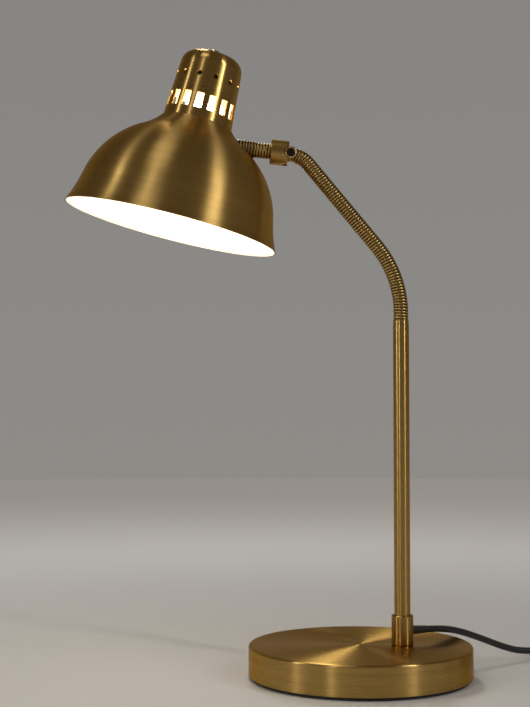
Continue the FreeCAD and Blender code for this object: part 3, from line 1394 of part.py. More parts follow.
def write_all():
    """Write each sub-part to its own file."""
    os.makedirs("parts", exist_ok=True)
    for piece in nodes:
        piece.Shape.exportStep(os.path.join("parts", piece.Label + ".step"))
    print(f"{len(nodes)} sub-parts written")


make_base()
make_pole()
make_neck()
make_hinge()
outside_solid, inside_solid = make_shade()
make_arm(outside_solid, inside_solid)
make_light(make_cap())
make_cord()
doc.recompute()
check_all()
write_all()
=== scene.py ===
# %% [markdown]
# # A brass desk lamp with a dome shade
# This lesson dresses a packed lamp model: a weighted round base, a pole, a gooseneck and a tilting dome shade
# with a vented cap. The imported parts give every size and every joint. Here each visible part gets its finish,
# and parts whose look lives in fine detail, such as the gooseneck and the spun shade, are modelled again.

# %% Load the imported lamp
import json
import math

import bmesh
import bpy
from mathutils import Matrix, Vector


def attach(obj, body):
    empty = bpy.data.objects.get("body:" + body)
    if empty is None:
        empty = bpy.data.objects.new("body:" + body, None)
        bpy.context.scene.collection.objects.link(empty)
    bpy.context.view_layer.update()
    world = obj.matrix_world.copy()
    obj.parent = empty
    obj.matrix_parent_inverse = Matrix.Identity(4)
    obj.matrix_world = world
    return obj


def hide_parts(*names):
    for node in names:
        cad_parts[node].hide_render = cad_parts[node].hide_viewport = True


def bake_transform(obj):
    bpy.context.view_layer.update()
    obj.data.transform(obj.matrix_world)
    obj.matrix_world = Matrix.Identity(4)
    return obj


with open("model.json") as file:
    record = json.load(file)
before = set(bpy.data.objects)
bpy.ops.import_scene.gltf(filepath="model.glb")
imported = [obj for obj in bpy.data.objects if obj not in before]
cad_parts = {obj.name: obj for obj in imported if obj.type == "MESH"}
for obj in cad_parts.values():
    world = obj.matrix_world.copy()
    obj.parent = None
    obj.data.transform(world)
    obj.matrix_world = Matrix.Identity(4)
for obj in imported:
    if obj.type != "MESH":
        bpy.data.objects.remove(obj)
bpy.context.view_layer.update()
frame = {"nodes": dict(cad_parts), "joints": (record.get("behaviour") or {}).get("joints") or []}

MM = 0.001
scene = bpy.context.scene
nodes = frame["nodes"]
joints = {joint["name"]: joint for joint in frame["joints"]}

# %% [markdown]
# ## Camera
# The photo was taken from about two thirds of the way up the pole with a fairly long lens, a little over a metre
# away. The base and the rim of the shade are circles, so their ellipses gave the height and the tilt of the camera.

# %% Camera
lens_data = bpy.data.cameras.new("viewer")
lens_data.sensor_width = 36.0
lens_data.lens = 65.8
camera = bpy.data.objects.new("viewer", lens_data)
camera.location = (-0.0767, -1.050, 0.2103)
camera.rotation_euler = (math.radians(92.73), 0, 0)
scene.collection.objects.link(camera)
scene.camera = camera
print("camera at", tuple(camera.location))

# %% [markdown]
# ## Mains cord
# A cord keeps its length: 1.8 m on a small lamp like this. It leaves the collar through a strain relief, comes down
# to the floor and runs to an in-line switch. What the photo doesn't show is put away in a neat coil beside the
# lamp, with the plug next to it. Each cord is a NURBS curve, whose control points are the corners of its route: a
# curve with a bevel keeps its thickness all the way, and its length is easy to measure.

# %% Helpers for a cord
CORD_DIAMETER = 5.5 * MM
POLE_X = 34.0


def heading(degrees):
    """A direction along the floor."""
    return Vector((math.cos(math.radians(degrees)), math.sin(math.radians(degrees)), 0))


def cord_curve(name, points):
    """A round cord along a smooth curve that the points steer.

    The thickness is each point's radius times the bevel depth. The radius carries it here, because Blender adds the
    radius to the curve's bounding box.
    """
    curve = bpy.data.curves.new(name, "CURVE")
    curve.dimensions = "3D"
    curve.bevel_depth = 1.0
    curve.bevel_resolution = 6
    curve.resolution_u = 10
    spline = curve.splines.new("NURBS")
    spline.points.add(len(points) - 1)
    for point, place in zip(spline.points, points):
        point.co = (place[0] * MM, place[1] * MM, place[2] * MM, 1)
        point.radius = CORD_DIAMETER / 2
    spline.order_u = 3
    spline.use_endpoint_u = True
    cord = bpy.data.objects.new(name, curve)
    scene.collection.objects.link(cord)
    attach(cord, "stand")
    return cord


# %% Cord from the collar to the switch
RELIEF_LENGTH, RELIEF_DIP = 28.9, math.radians(4)
RELIEF_EASE, FITTING_EASE = 16, 20
relief_root = Vector((POLE_X, 0, 37.1))
relief_way = heading(42) * math.cos(RELIEF_DIP) - Vector((0, 0, math.sin(RELIEF_DIP)))
relief_end = relief_root + relief_way * RELIEF_LENGTH
switch_way = heading(20)
switch_start = Vector((163.0, 77.4, 7.5))
# the cord runs straight for a short way beside each fitting
seen_route = [
    relief_end,
    relief_end + relief_way * RELIEF_EASE,
    (84.0, 42.6, 30.4),
    (104.5, 54.0, 22.4),
    (125.5, 63.3, 13.2),
    switch_start - switch_way * FITTING_EASE,
    switch_start,
]
lamp_cord = cord_curve("lamp_cord", seen_route)
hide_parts("cord_lamp_side")

# %% [markdown]
# ### The put-away coil
# The coil is part of the same curve: its turns lie beside each other and on each other, one cord apart. Each turn
# keeps its radius for most of the way round and then steps over to the next, as a hand lays it. A spiral would be
# shorter to write, but its turns would not lie in layers.

# %% Cord from the switch through the coil to the plug
COIL_CENTRE = Vector((210.7, 38.2, 0))
ENTRY_ANGLE = -45.4
POINTS_A_TURN = 20
STEP_OVER_START, STEP_OVER_LENGTH = 0.74, 0.24
# a smooth curve runs inside its control points, so they stand a little outside the turn
CORNER_SHARE = math.cos(math.pi / POINTS_A_TURN) ** 0.8
# radius and height of the cord's middle in each turn, outermost turn of the bottom layer first
coil_turns = [
    (35.2, 2.75), (29.7, 2.75), (24.3, 2.75),
    (24.6, 8.2), (30.0, 8.2),
    (27.2, 13.6), (32.4, 13.6),
]


def coil_route():
    """Corners of the turns, clockwise from where the cord reaches the coil to where it leaves it."""
    corners = []
    for number, (radius, height) in enumerate(coil_turns):
        following = coil_turns[min(number + 1, len(coil_turns) - 1)]
        for step in range(POINTS_A_TURN):
            share = step / POINTS_A_TURN
            blend = min(max((share - STEP_OVER_START) / STEP_OVER_LENGTH, 0), 1)
            blend = blend * blend * (3 - 2 * blend)
            middle = (radius + (following[0] - radius) * blend) / CORNER_SHARE
            angle = math.radians(ENTRY_ANGLE - 360 * share)
            level = height + (following[1] - height) * blend
            corners.append(COIL_CENTRE + Vector((middle * math.cos(angle), middle * math.sin(angle), level)))
    return corners


SWITCH_LENGTH = 60
TAIL_POINTS = 16
leaving = switch_start + switch_way * SWITCH_LENGTH
plug_way = heading(-85)
plug_start = Vector((248.0, -32.0, 7.0))
tail_radius, tail_height = coil_turns[-1]
tail_turn = []
for step in range(1, TAIL_POINTS + 1):
    angle = math.radians(ENTRY_ANGLE - 360 / POINTS_A_TURN * step)
    offset = (tail_radius * math.cos(angle), tail_radius * math.sin(angle), tail_height)
    tail_turn.append(COIL_CENTRE + Vector(offset))
hidden_route = (
    [leaving, leaving + switch_way * FITTING_EASE]
    + [(258.8, 100.6, 4.6), (272.0, 83.4, 2.75), (271.6, 61.6, 2.75), (258.4, 43.0, 2.75), (245.0, 26.0, 2.75)]
    + coil_route()
    + tail_turn
    + [(242.4, 24.0, 13.4), (244.2, 4.0, 10.6), plug_start - plug_way * FITTING_EASE, plug_start]
)
plug_cord = cord_curve("plug_cord", hidden_route)
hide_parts("cord_switch_side", "cord_coil", "cord_plug_side")
print(f"cord routes have {len(seen_route)} and {len(hidden_route)} points")

# %% [markdown]
# ## Floor, background and light
# A brushed metal shows what stands round it, so it needs a soft floor, a quiet background and a few bright lamps.
# The floor is a plain pale disc. Far from the lamp it glows a little for the camera and in reflections only, so that
# it fades into the background and its own shadows stay.

# %% Floor
FLOOR_RADIUS, FLOOR_SIDES = 3.3, 96
floor_angles = [2 * math.pi * step / FLOOR_SIDES for step in range(FLOOR_SIDES)]
floor_edge = [(FLOOR_RADIUS * math.cos(angle), FLOOR_RADIUS * math.sin(angle), 0) for angle in floor_angles]
floor_mesh = bpy.data.meshes.new("studio_floor")
floor_mesh.from_pydata(floor_edge, [], [list(range(FLOOR_SIDES))])
floor = bpy.data.objects.new("studio_floor", floor_mesh)
scene.collection.objects.link(floor)
floor.location.z = -0.0003  # a hair below the pad of the base


def new_material(name):
    """An empty node material and its output."""
    material = bpy.data.materials.new(name)
    material.use_nodes = True
    material.node_tree.nodes.clear()
    output = material.node_tree.nodes.new("ShaderNodeOutputMaterial")
    return material, material.node_tree, output


def math_node(tree, operation, first, second=None):
    """A Math node with each input a socket or a number."""
    node = tree.nodes.new("ShaderNodeMath")
    node.operation = operation
    for socket, item in zip(node.inputs, (first, second)):
        if isinstance(item, (int, float)):
            socket.default_value = item
        elif item is not None:
            tree.links.new(item, socket)
    return node.outputs[0]


floor_paint, tree, output = new_material("pale_floor")
surface = tree.nodes.new("ShaderNodeBsdfPrincipled")
surface.inputs["Roughness"].default_value = 0.7
grain = tree.nodes.new("ShaderNodeTexNoise")
grain.inputs["Scale"].default_value = 6.0
tone = tree.nodes.new("ShaderNodeMix")
tone.data_type = "RGBA"
tone.inputs["A"].default_value = (0.74, 0.725, 0.70, 1)
tone.inputs["B"].default_value = (0.78, 0.765, 0.74, 1)
tree.links.new(grain.outputs["Fac"], tone.inputs["Factor"])
tree.links.new(tone.outputs["Result"], surface.inputs["Base Color"])
where = tree.nodes.new("ShaderNodeNewGeometry")
far = tree.nodes.new("ShaderNodeVectorMath")
far.operation = "LENGTH"
tree.links.new(where.outputs["Position"], far.inputs[0])
haze = tree.nodes.new("ShaderNodeMapRange")
haze.interpolation_type = "SMOOTHSTEP"
haze.inputs["From Min"].default_value = 0.15
haze.inputs["From Max"].default_value = 1.1
haze.inputs["To Max"].default_value = 0.17
tree.links.new(far.outputs["Value"], haze.inputs["Value"])
rays = tree.nodes.new("ShaderNodeLightPath")
seen = math_node(tree, "ADD", rays.outputs["Is Camera Ray"], rays.outputs["Is Glossy Ray"])
seen = math_node(tree, "MINIMUM", math_node(tree, "ADD", seen, rays.outputs["Is Transmission Ray"]), 1.0)
surface.inputs["Emission Color"].default_value = (1.0, 0.965, 0.92, 1)
tree.links.new(math_node(tree, "MULTIPLY", haze.outputs["Result"], seen), surface.inputs["Emission Strength"])
tree.links.new(surface.outputs["BSDF"], output.inputs["Surface"])
floor_mesh.materials.append(floor_paint)
print("floor radius", FLOOR_RADIUS, "m")

# %% [markdown]
# ### Background
# The world is pale low down and a little darker overhead. It is at its brightest behind the lamp, where the camera
# sees it. On the camera's side, which the front of the brass reflects, it is dimmer and warmer.

# %% World
BEHIND_FROM, BEHIND_TO = 0.35, 0.85
world = bpy.data.worlds.new("studio")
scene.world = world
world.use_nodes = True
sky = world.node_tree
sky.nodes.clear()
world_out = sky.nodes.new("ShaderNodeOutputWorld")
glow = sky.nodes.new("ShaderNodeBackground")
place = sky.nodes.new("ShaderNodeTexCoord")
split = sky.nodes.new("ShaderNodeSeparateXYZ")
rise = sky.nodes.new("ShaderNodeMapRange")
rise.inputs["From Min"].default_value = -0.2
rise.inputs["From Max"].default_value = 0.9
ramp = sky.nodes.new("ShaderNodeValToRGB")
ramp.color_ramp.elements[0].color = (0.62, 0.59, 0.55, 1)
ramp.color_ramp.elements[1].color = (0.42, 0.42, 0.43, 1)
sky.links.new(place.outputs["Generated"], split.inputs["Vector"])
sky.links.new(split.outputs["Z"], rise.inputs["Value"])
sky.links.new(rise.outputs["Result"], ramp.inputs["Fac"])
behind = sky.nodes.new("ShaderNodeMapRange")
behind.interpolation_type = "SMOOTHSTEP"
behind.inputs["From Min"].default_value = BEHIND_FROM
behind.inputs["From Max"].default_value = BEHIND_TO
behind.inputs["To Min"].default_value = 0.20
behind.inputs["To Max"].default_value = 0.46
tint = sky.nodes.new("ShaderNodeMix")
tint.data_type = "RGBA"
tint.inputs["A"].default_value = (0.64, 0.54, 0.43, 1)
warm = sky.nodes.new("ShaderNodeMapRange")
warm.inputs["From Min"].default_value = BEHIND_FROM
warm.inputs["From Max"].default_value = BEHIND_TO
sky.links.new(split.outputs["Y"], warm.inputs["Value"])
sky.links.new(warm.outputs["Result"], tint.inputs["Factor"])
sky.links.new(ramp.outputs["Color"], tint.inputs["B"])
sky.links.new(tint.outputs["Result"], glow.inputs["Color"])
sky.links.new(split.outputs["Y"], behind.inputs["Value"])
sky.links.new(behind.outputs["Result"], glow.inputs["Strength"])
sky.links.new(glow.outputs["Background"], world_out.inputs["Surface"])
print("world:", world.name, "with", len(sky.nodes), "nodes")

# %% [markdown]
# ### Lamps
# Tall narrow strips of light stand round the object, with dark gaps between them. One large soft lamp would light
# it as well, but brushed brass would then look like even paint: each strip draws one streak, about halfway round
# from the camera to the strip. The last one stands behind and edges the dome and the pole.

# %% Lamps
LAMP_AIM = Vector((-0.05, 0, 0.26))


def strip(name, azimuth, elevation, distance, size, radiance):
    """A soft lamp that looks at the object: azimuth 0 stands at the camera and 90 to its right."""
    side, lift = math.radians(azimuth), math.radians(elevation)
    way = Vector((math.sin(side) * math.cos(lift), -math.cos(side) * math.cos(lift), math.sin(lift)))
    data = bpy.data.lights.new(name, "AREA")
    data.shape = "RECTANGLE"
    data.size, data.size_y = size
    data.energy = radiance * math.pi * size[0] * size[1]
    lamp = bpy.data.objects.new(name, data)
    lamp.location = LAMP_AIM + way * distance
    lamp.rotation_euler = (LAMP_AIM - lamp.location).to_track_quat("-Z", "Y").to_euler()
    scene.collection.objects.link(lamp)


# name, azimuth, elevation, distance in m, width and height in m, radiance
strip("right_strip", 52, 24, 1.5, (0.12, 1.0), 13.0)
strip("front_strip", -28, 26, 1.5, (0.16, 1.0), 1.3)
strip("left_strip", -70, 18, 1.5, (0.12, 0.9), 8.5)
strip("low_strip", -31, 7, 1.5, (0.10, 0.36), 9.0)
strip("top_panel", -30, 66, 1.4, (0.40, 0.40), 2.6)
strip("back_strip", 187.4, 45, 1.5, (0.12, 0.45), 22.0)
scene.view_settings.view_transform = "Standard"

# %% [markdown]
# ## Aged brushed brass
# The lamp is spun and turned brass: the tool leaves fine rings round the axis, and the lacquer has aged to a warm
# brown in the shadows. Fine rings stretch a highlight across them, which the Anisotropic socket does with a tangent
# round the axis. A picture of brushed metal could give the rings, but it would need unwrapped meshes. Noise that is
# stretched round the axis needs none, so one node group makes the colour and roughness for every brass part.

# %% Node group: spun rings
def group_with(name, inputs, outputs):
    """A shader node group with named sockets, and its input and output nodes."""
    group = bpy.data.node_groups.new(name, "ShaderNodeTree")
    for label, kind, value in inputs:
        socket = group.interface.new_socket(label, in_out="INPUT", socket_type=kind)
        socket.default_value = value
    for label, kind in outputs:
        group.interface.new_socket(label, in_out="OUTPUT", socket_type=kind)
    return group, group.nodes.new("NodeGroupInput"), group.nodes.new("NodeGroupOutput")


def colour_mix(tree, factor, first, second, blend="MIX"):
    """A colour Mix node with each input a socket or a colour."""
    node = tree.nodes.new("ShaderNodeMix")
    node.data_type = "RGBA"
    node.blend_type = blend
    for socket, item in zip((node.inputs["Factor"], node.inputs["A"], node.inputs["B"]), (factor, first, second)):
        if isinstance(item, bpy.types.NodeSocket):
            tree.links.new(item, socket)
        else:
            socket.default_value = item
    return node.outputs["Result"]


# both directions of the noise lean, so that rings show where the metal lies flat and where it stands
RING_SLANT = 0.6
CLOUD_LEVEL, BAND_SHARE, FINE_SHARE = 0.35, 0.35, 0.5
FINE_ROUGHNESS, WEAR_ROUGHNESS = 0.35, 0.25
spun, sides, ends = group_with(
    "spun_rings",
    [
        ("Vector", "NodeSocketVector", (0, 0, 0)),
        ("Light Brass", "NodeSocketColor", (0.50, 0.34, 0.12, 1)),
        ("Dark Brass", "NodeSocketColor", (0.25, 0.15, 0.045, 1)),
        ("Rings", "NodeSocketFloat", 900.0),
        ("Age", "NodeSocketFloat", 0.35),
        ("Shine", "NodeSocketFloat", 0.30),
    ],
    [("Color", "NodeSocketColor"), ("Roughness", "NodeSocketFloat"), ("Height", "NodeSocketFloat")],
)
apart = spun.nodes.new("ShaderNodeSeparateXYZ")
spun.links.new(sides.outputs["Vector"], apart.inputs["Vector"])
radius = math_node(spun, "SQRT", math_node(
    spun, "ADD",
    math_node(spun, "MULTIPLY", apart.outputs["X"], apart.outputs["X"]),
    math_node(spun, "MULTIPLY", apart.outputs["Y"], apart.outputs["Y"]),
))
along = math_node(spun, "ADD", radius, apart.outputs["Z"])
across = math_node(spun, "SUBTRACT", math_node(spun, "MULTIPLY", radius, RING_SLANT), apart.outputs["Z"])
ring_place = spun.nodes.new("ShaderNodeCombineXYZ")
spun.links.new(math_node(spun, "MULTIPLY", along, sides.outputs["Rings"]), ring_place.inputs["X"])
spun.links.new(math_node(spun, "MULTIPLY", across, sides.outputs["Rings"]), ring_place.inputs["Y"])
rings = spun.nodes.new("ShaderNodeTexNoise")
rings.inputs["Scale"].default_value = 1.0
rings.inputs["Detail"].default_value = 4.0
rings.inputs["Roughness"].default_value = 0.65
spun.links.new(ring_place.outputs["Vector"], rings.inputs["Vector"])
bands = spun.nodes.new("ShaderNodeTexNoise")
bands.inputs["Scale"].default_value = 0.06
bands.inputs["Detail"].default_value = 2.0
spun.links.new(ring_place.outputs["Vector"], bands.inputs["Vector"])
clouds = spun.nodes.new("ShaderNodeTexNoise")
clouds.inputs["Scale"].default_value = 18.0
clouds.inputs["Detail"].default_value = 2.0
spun.links.new(sides.outputs["Vector"], clouds.inputs["Vector"])
cloudy = math_node(spun, "SUBTRACT", clouds.outputs["Fac"], CLOUD_LEVEL)
wear = math_node(spun, "MULTIPLY", cloudy, sides.outputs["Age"])
shade_mask = math_node(spun, "ADD", math_node(spun, "MULTIPLY", bands.outputs["Fac"], BAND_SHARE), wear)
fine_mask = math_node(spun, "MULTIPLY", math_node(spun, "SUBTRACT", rings.outputs["Fac"], 0.5), FINE_SHARE)
clamped = spun.nodes.new("ShaderNodeClamp")
spun.links.new(math_node(spun, "ADD", shade_mask, fine_mask), clamped.inputs["Value"])
spun.links.new(
    colour_mix(spun, clamped.outputs["Result"], sides.outputs["Light Brass"], sides.outputs["Dark Brass"]),
    ends.inputs["Color"],
)
rough = math_node(spun, "ADD", sides.outputs["Shine"], math_node(spun, "MULTIPLY", fine_mask, FINE_ROUGHNESS))
rough = math_node(spun, "ADD", rough, math_node(spun, "MULTIPLY", wear, WEAR_ROUGHNESS))
spun.links.new(rough, ends.inputs["Roughness"])
spun.links.new(rings.outputs["Fac"], ends.inputs["Height"])
print("node group", spun.name, "with", len(spun.nodes), "nodes")

# %% [markdown]
# ### One brass material for each way of turning
# A part takes its tangent from the Z axis of its own object. That suits the base and the pole, which stand upright.
# The shade and its cap are modelled in their own tilted objects, so the same material fits them too. The parts of
# the joint lie at other angles, but they are small, and their highlight is stretched less.

# %% Brass materials
RING_DEPTH = 0.00004


def brass(name, light, dark, rings, age, shine, stretch, ring_bump=0.15, coat=0.0):
    """Brass with tool rings round an axis of its object: light and dark are its clean and aged colours."""
    material, tree, output = new_material(name)
    metal = tree.nodes.new("ShaderNodeBsdfPrincipled")
    metal.inputs["Metallic"].default_value = 1.0
    metal.inputs["Anisotropic"].default_value = stretch
    metal.inputs["Anisotropic Rotation"].default_value = 0.25
    metal.inputs["Specular Tint"].default_value = (0.80, 0.60, 0.40, 1)
    metal.inputs["Coat Weight"].default_value = coat
    metal.inputs["Coat Roughness"].default_value = 0.25
    finish = tree.nodes.new("ShaderNodeGroup")
    finish.node_tree = spun
    finish.inputs["Light Brass"].default_value = (*light, 1)
    finish.inputs["Dark Brass"].default_value = (*dark, 1)
    finish.inputs["Rings"].default_value = rings
    finish.inputs["Age"].default_value = age
    finish.inputs["Shine"].default_value = shine
    where = tree.nodes.new("ShaderNodeTexCoord")
    tree.links.new(where.outputs["Object"], finish.inputs["Vector"])
    tangent = tree.nodes.new("ShaderNodeTangent")
    tangent.direction_type = "RADIAL"
    tangent.axis = "Z"
    bump = tree.nodes.new("ShaderNodeBump")
    bump.inputs["Strength"].default_value = ring_bump
    bump.inputs["Distance"].default_value = RING_DEPTH
    tree.links.new(finish.outputs["Height"], bump.inputs["Height"])
    tree.links.new(bump.outputs["Normal"], metal.inputs["Normal"])
    tree.links.new(finish.outputs["Color"], metal.inputs["Base Color"])
    tree.links.new(finish.outputs["Roughness"], metal.inputs["Roughness"])
    tree.links.new(tangent.outputs["Tangent"], metal.inputs["Tangent"])
    tree.links.new(metal.outputs["BSDF"], output.inputs["Surface"])
    return material


CLEAN = (0.53, 0.345, 0.110)
AGED = (0.20, 0.110, 0.028)
shade_brass = brass("shade_brass", CLEAN, AGED, rings=2200, age=0.25, shine=0.36, stretch=0.95)
base_brass = brass("base_brass", CLEAN, AGED, rings=2200, age=0.20, shine=0.27, stretch=0.95)
cap_brass = brass("cap_brass", CLEAN, AGED, rings=2200, age=0.25, shine=0.24, stretch=0.9)
pole_brass = brass("pole_brass", CLEAN, AGED, rings=1800, age=0.12, shine=0.22, stretch=0.97, ring_bump=0.04)
small_brass = brass("small_brass", CLEAN, AGED, rings=2400, age=0.40, shine=0.30, stretch=0.4)
bright_brass = brass(
    "bright_brass", (0.80, 0.62, 0.32), (0.50, 0.34, 0.14), rings=1500, age=0.2, shine=0.20, stretch=0.3, coat=0.2
)
print("brass finishes:", [item.name for item in bpy.data.materials if "brass" in item.name])

# %% [markdown]
# ### Brass of the wound parts
# The gooseneck's wire is smooth, so it needs no rings of its own. The gaps between the turns are darkened as painted
# shade. Ambient occlusion could find the gaps, but it is slow and changes with what stands near. Here the mesh
# stores how deep each point lies as an attribute, and the material turns that into a dark colour, painted shade.

# %% Brass for the windings
# the strength of the painted shade in the grooves, and the roughness it adds there
WORN_SHARE, GROOVE_SHADE_GAIN, GROOVE_ROUGHNESS = 0.8, 2.2, 0.25


def wound_brass(name, crest, gap, roughness):
    """Smooth brass with painted shade where the mesh attribute called groove rises."""
    material, tree, output = new_material(name)
    metal = tree.nodes.new("ShaderNodeBsdfPrincipled")
    metal.inputs["Metallic"].default_value = 1.0
    depth = tree.nodes.new("ShaderNodeAttribute")
    depth.attribute_name = "groove"
    noise = tree.nodes.new("ShaderNodeTexNoise")
    noise.inputs["Scale"].default_value = 60.0
    where = tree.nodes.new("ShaderNodeTexCoord")
    tree.links.new(where.outputs["Object"], noise.inputs["Vector"])
    worn = colour_mix(tree, noise.outputs["Fac"], (*crest, 1), (*[c * WORN_SHARE for c in crest], 1))
    # painted shade: the deeper the groove, the darker the brass
    groove_shade = math_node(tree, "MINIMUM", math_node(tree, "MULTIPLY", depth.outputs["Fac"], GROOVE_SHADE_GAIN), 1.0)
    tree.links.new(colour_mix(tree, groove_shade, worn, (*gap, 1)), metal.inputs["Base Color"])
    rough = math_node(tree, "ADD", math_node(tree, "MULTIPLY", groove_shade, GROOVE_ROUGHNESS), roughness)
    tree.links.new(rough, metal.inputs["Roughness"])
    tree.links.new(metal.outputs["BSDF"], output.inputs["Surface"])
    return material


neck_brass = wound_brass("neck_brass", (0.56, 0.37, 0.125), (0.030, 0.018, 0.007), 0.30)
# the seat's brass is painted darker, as shade next to the dome
shaded_seat_brass = wound_brass("shaded_seat_brass", (0.34, 0.22, 0.08), (0.012, 0.008, 0.004), 0.32)
print("wound finishes:", neck_brass.name, shaded_seat_brass.name)

# %% [markdown]
# ## Plain finishes
# Rubber, moulded plastic, plated steel and enamel have no tool rings. Each has a little grain in its roughness and
# colour, because a surface that is perfectly even looks like a drawing. The grain is a fine noise in the object's
# own space, so it stays put when a part moves.

# %% Plain materials
GRAIN_HEIGHT, ROUGHNESS_SPREAD = 0.00003, 0.08


def plain(name, colour, second, roughness, scale, metallic=0.0):
    """A material whose colour and roughness vary a little with a fine noise."""
    material, tree, output = new_material(name)
    surface = tree.nodes.new("ShaderNodeBsdfPrincipled")
    surface.inputs["Metallic"].default_value = metallic
    where = tree.nodes.new("ShaderNodeTexCoord")
    noise = tree.nodes.new("ShaderNodeTexNoise")
    noise.inputs["Scale"].default_value = scale
    noise.inputs["Detail"].default_value = 4.0
    tree.links.new(where.outputs["Object"], noise.inputs["Vector"])
    mix = colour_mix(tree, noise.outputs["Fac"], (*colour, 1), (*second, 1))
    tree.links.new(mix, surface.inputs["Base Color"])
    change = tree.nodes.new("ShaderNodeMapRange")
    change.inputs["To Min"].default_value = roughness - ROUGHNESS_SPREAD
    change.inputs["To Max"].default_value = roughness + ROUGHNESS_SPREAD
    tree.links.new(noise.outputs["Fac"], change.inputs["Value"])
    tree.links.new(change.outputs["Result"], surface.inputs["Roughness"])
    bump = tree.nodes.new("ShaderNodeBump")
    bump.inputs["Distance"].default_value = GRAIN_HEIGHT
    bump.inputs["Strength"].default_value = 0.4
    tree.links.new(noise.outputs["Fac"], bump.inputs["Height"])
    tree.links.new(bump.outputs["Normal"], surface.inputs["Normal"])
    tree.links.new(surface.outputs["BSDF"], output.inputs["Surface"])
    return material


pad_rubber = plain("pad_rubber", (0.020, 0.020, 0.020), (0.034, 0.033, 0.032), 0.75, scale=900)
cord_sheath = plain("cord_sheath", (0.014, 0.014, 0.015), (0.024, 0.024, 0.025), 0.42, scale=500)
moulded_black = plain("moulded_black", (0.018, 0.018, 0.019), (0.030, 0.030, 0.031), 0.48, scale=1400)
satin_black = plain("satin_black", (0.016, 0.016, 0.017), (0.024, 0.024, 0.025), 0.30, scale=1200)
cast_iron = plain("cast_iron", (0.10, 0.10, 0.105), (0.17, 0.165, 0.16), 0.62, scale=240, metallic=0.6)
plated_steel = plain("plated_steel", (0.52, 0.52, 0.50), (0.66, 0.65, 0.63), 0.30, scale=600, metallic=1.0)
black_steel = plain("black_steel", (0.055, 0.040, 0.030), (0.090, 0.065, 0.045), 0.34, scale=700, metallic=1.0)
pale_sheath = plain("pale_sheath", (0.78, 0.77, 0.72), (0.86, 0.85, 0.81), 0.45, scale=500)
print("materials so far:", len(bpy.data.materials))

# %% [markdown]
# ## Light inside the shade
# The lamp is switched on: the enamelled inside of the shade is flooded with light, and the light shows through the
# slots of the cap. Real bounced light inside a deep shade is slow and noisy to render, so the enamel glows a little
# by itself, brighter higher up, as painted light; the lower cap and the lampholder glow the same way. Above the slots
# the inside of the cap is painted dark as shade, and so is the top of the lampholder.

# %% Enamel and bulb
hinge_place = Vector(joints["shade_tilt"]["pos_m"])
arm_way = Vector(joints["shade_swivel"]["axis"]).normalized()
SHADE_LEAN = math.radians(14.0)
shade_up = Vector((math.sin(SHADE_LEAN), 0, math.cos(SHADE_LEAN)))
shade_out = Vector((math.cos(SHADE_LEAN), 0, -math.sin(SHADE_LEAN)))
# along the arm from the hinge to the hole in the dome, and the hole's height over the rim and reach from the axis
ARM_REACH, ARM_HEIGHT, ARM_HOLE_REACH = 39.8 * MM, 77.5 * MM, 41.11 * MM
rim_centre = hinge_place + arm_way * ARM_REACH - shade_out * ARM_HOLE_REACH - shade_up * ARM_HEIGHT
shade_place = Matrix.Translation(rim_centre) @ Matrix.Rotation(SHADE_LEAN, 4, "Y")
SPECKLE_SHARE = 0.96
print("rim centre", [round(value, 4) for value in rim_centre])


def glowing(name, colour, top_colour, low, high, fade_from, fade_to, roughness):
    """Enamel with a painted glow: colour and low light below one height in its own object, top colour and high above.
    """
    material, tree, output = new_material(name)
    surface = tree.nodes.new("ShaderNodeBsdfPrincipled")
    surface.inputs["Roughness"].default_value = roughness
    surface.inputs["Emission Strength"].default_value = 1.0
    where = tree.nodes.new("ShaderNodeTexCoord")
    height = tree.nodes.new("ShaderNodeSeparateXYZ")
    tree.links.new(where.outputs["Object"], height.inputs["Vector"])
    fade = tree.nodes.new("ShaderNodeMapRange")
    fade.interpolation_type = "SMOOTHSTEP"
    fade.inputs["From Min"].default_value = fade_from
    fade.inputs["From Max"].default_value = fade_to
    tree.links.new(height.outputs["Z"], fade.inputs["Value"])
    speckle = tree.nodes.new("ShaderNodeTexNoise")
    speckle.inputs["Scale"].default_value = 90.0
    tree.links.new(where.outputs["Object"], speckle.inputs["Vector"])
    paint = colour_mix(tree, speckle.outputs["Fac"], (*colour, 1), (*[c * SPECKLE_SHARE for c in colour], 1))
    tree.links.new(colour_mix(tree, fade.outputs["Result"], paint, (*top_colour, 1)), surface.inputs["Base Color"])
    light = colour_mix(tree, fade.outputs["Result"], (*low, 1), (*high, 1))
    tree.links.new(light, surface.inputs["Emission Color"])
    tree.links.new(surface.outputs["BSDF"], output.inputs["Surface"])
    return material


# the second colour is painted shade, for the inside of the cap and the top of the lampholder above the slots
ENAMEL_WHITE, PAINTED_SHADE, UNLIT = (0.93, 0.91, 0.86), (0.010, 0.009, 0.008), (0, 0, 0)
# colour, top colour, low light, high light, the two heights in m between which they fade, and roughness
shade_enamel = glowing(
    "shade_enamel", ENAMEL_WHITE, ENAMEL_WHITE, (0.50, 0.45, 0.37), (0.8, 0.69, 0.50), 0.0, 0.080, 0.35
)
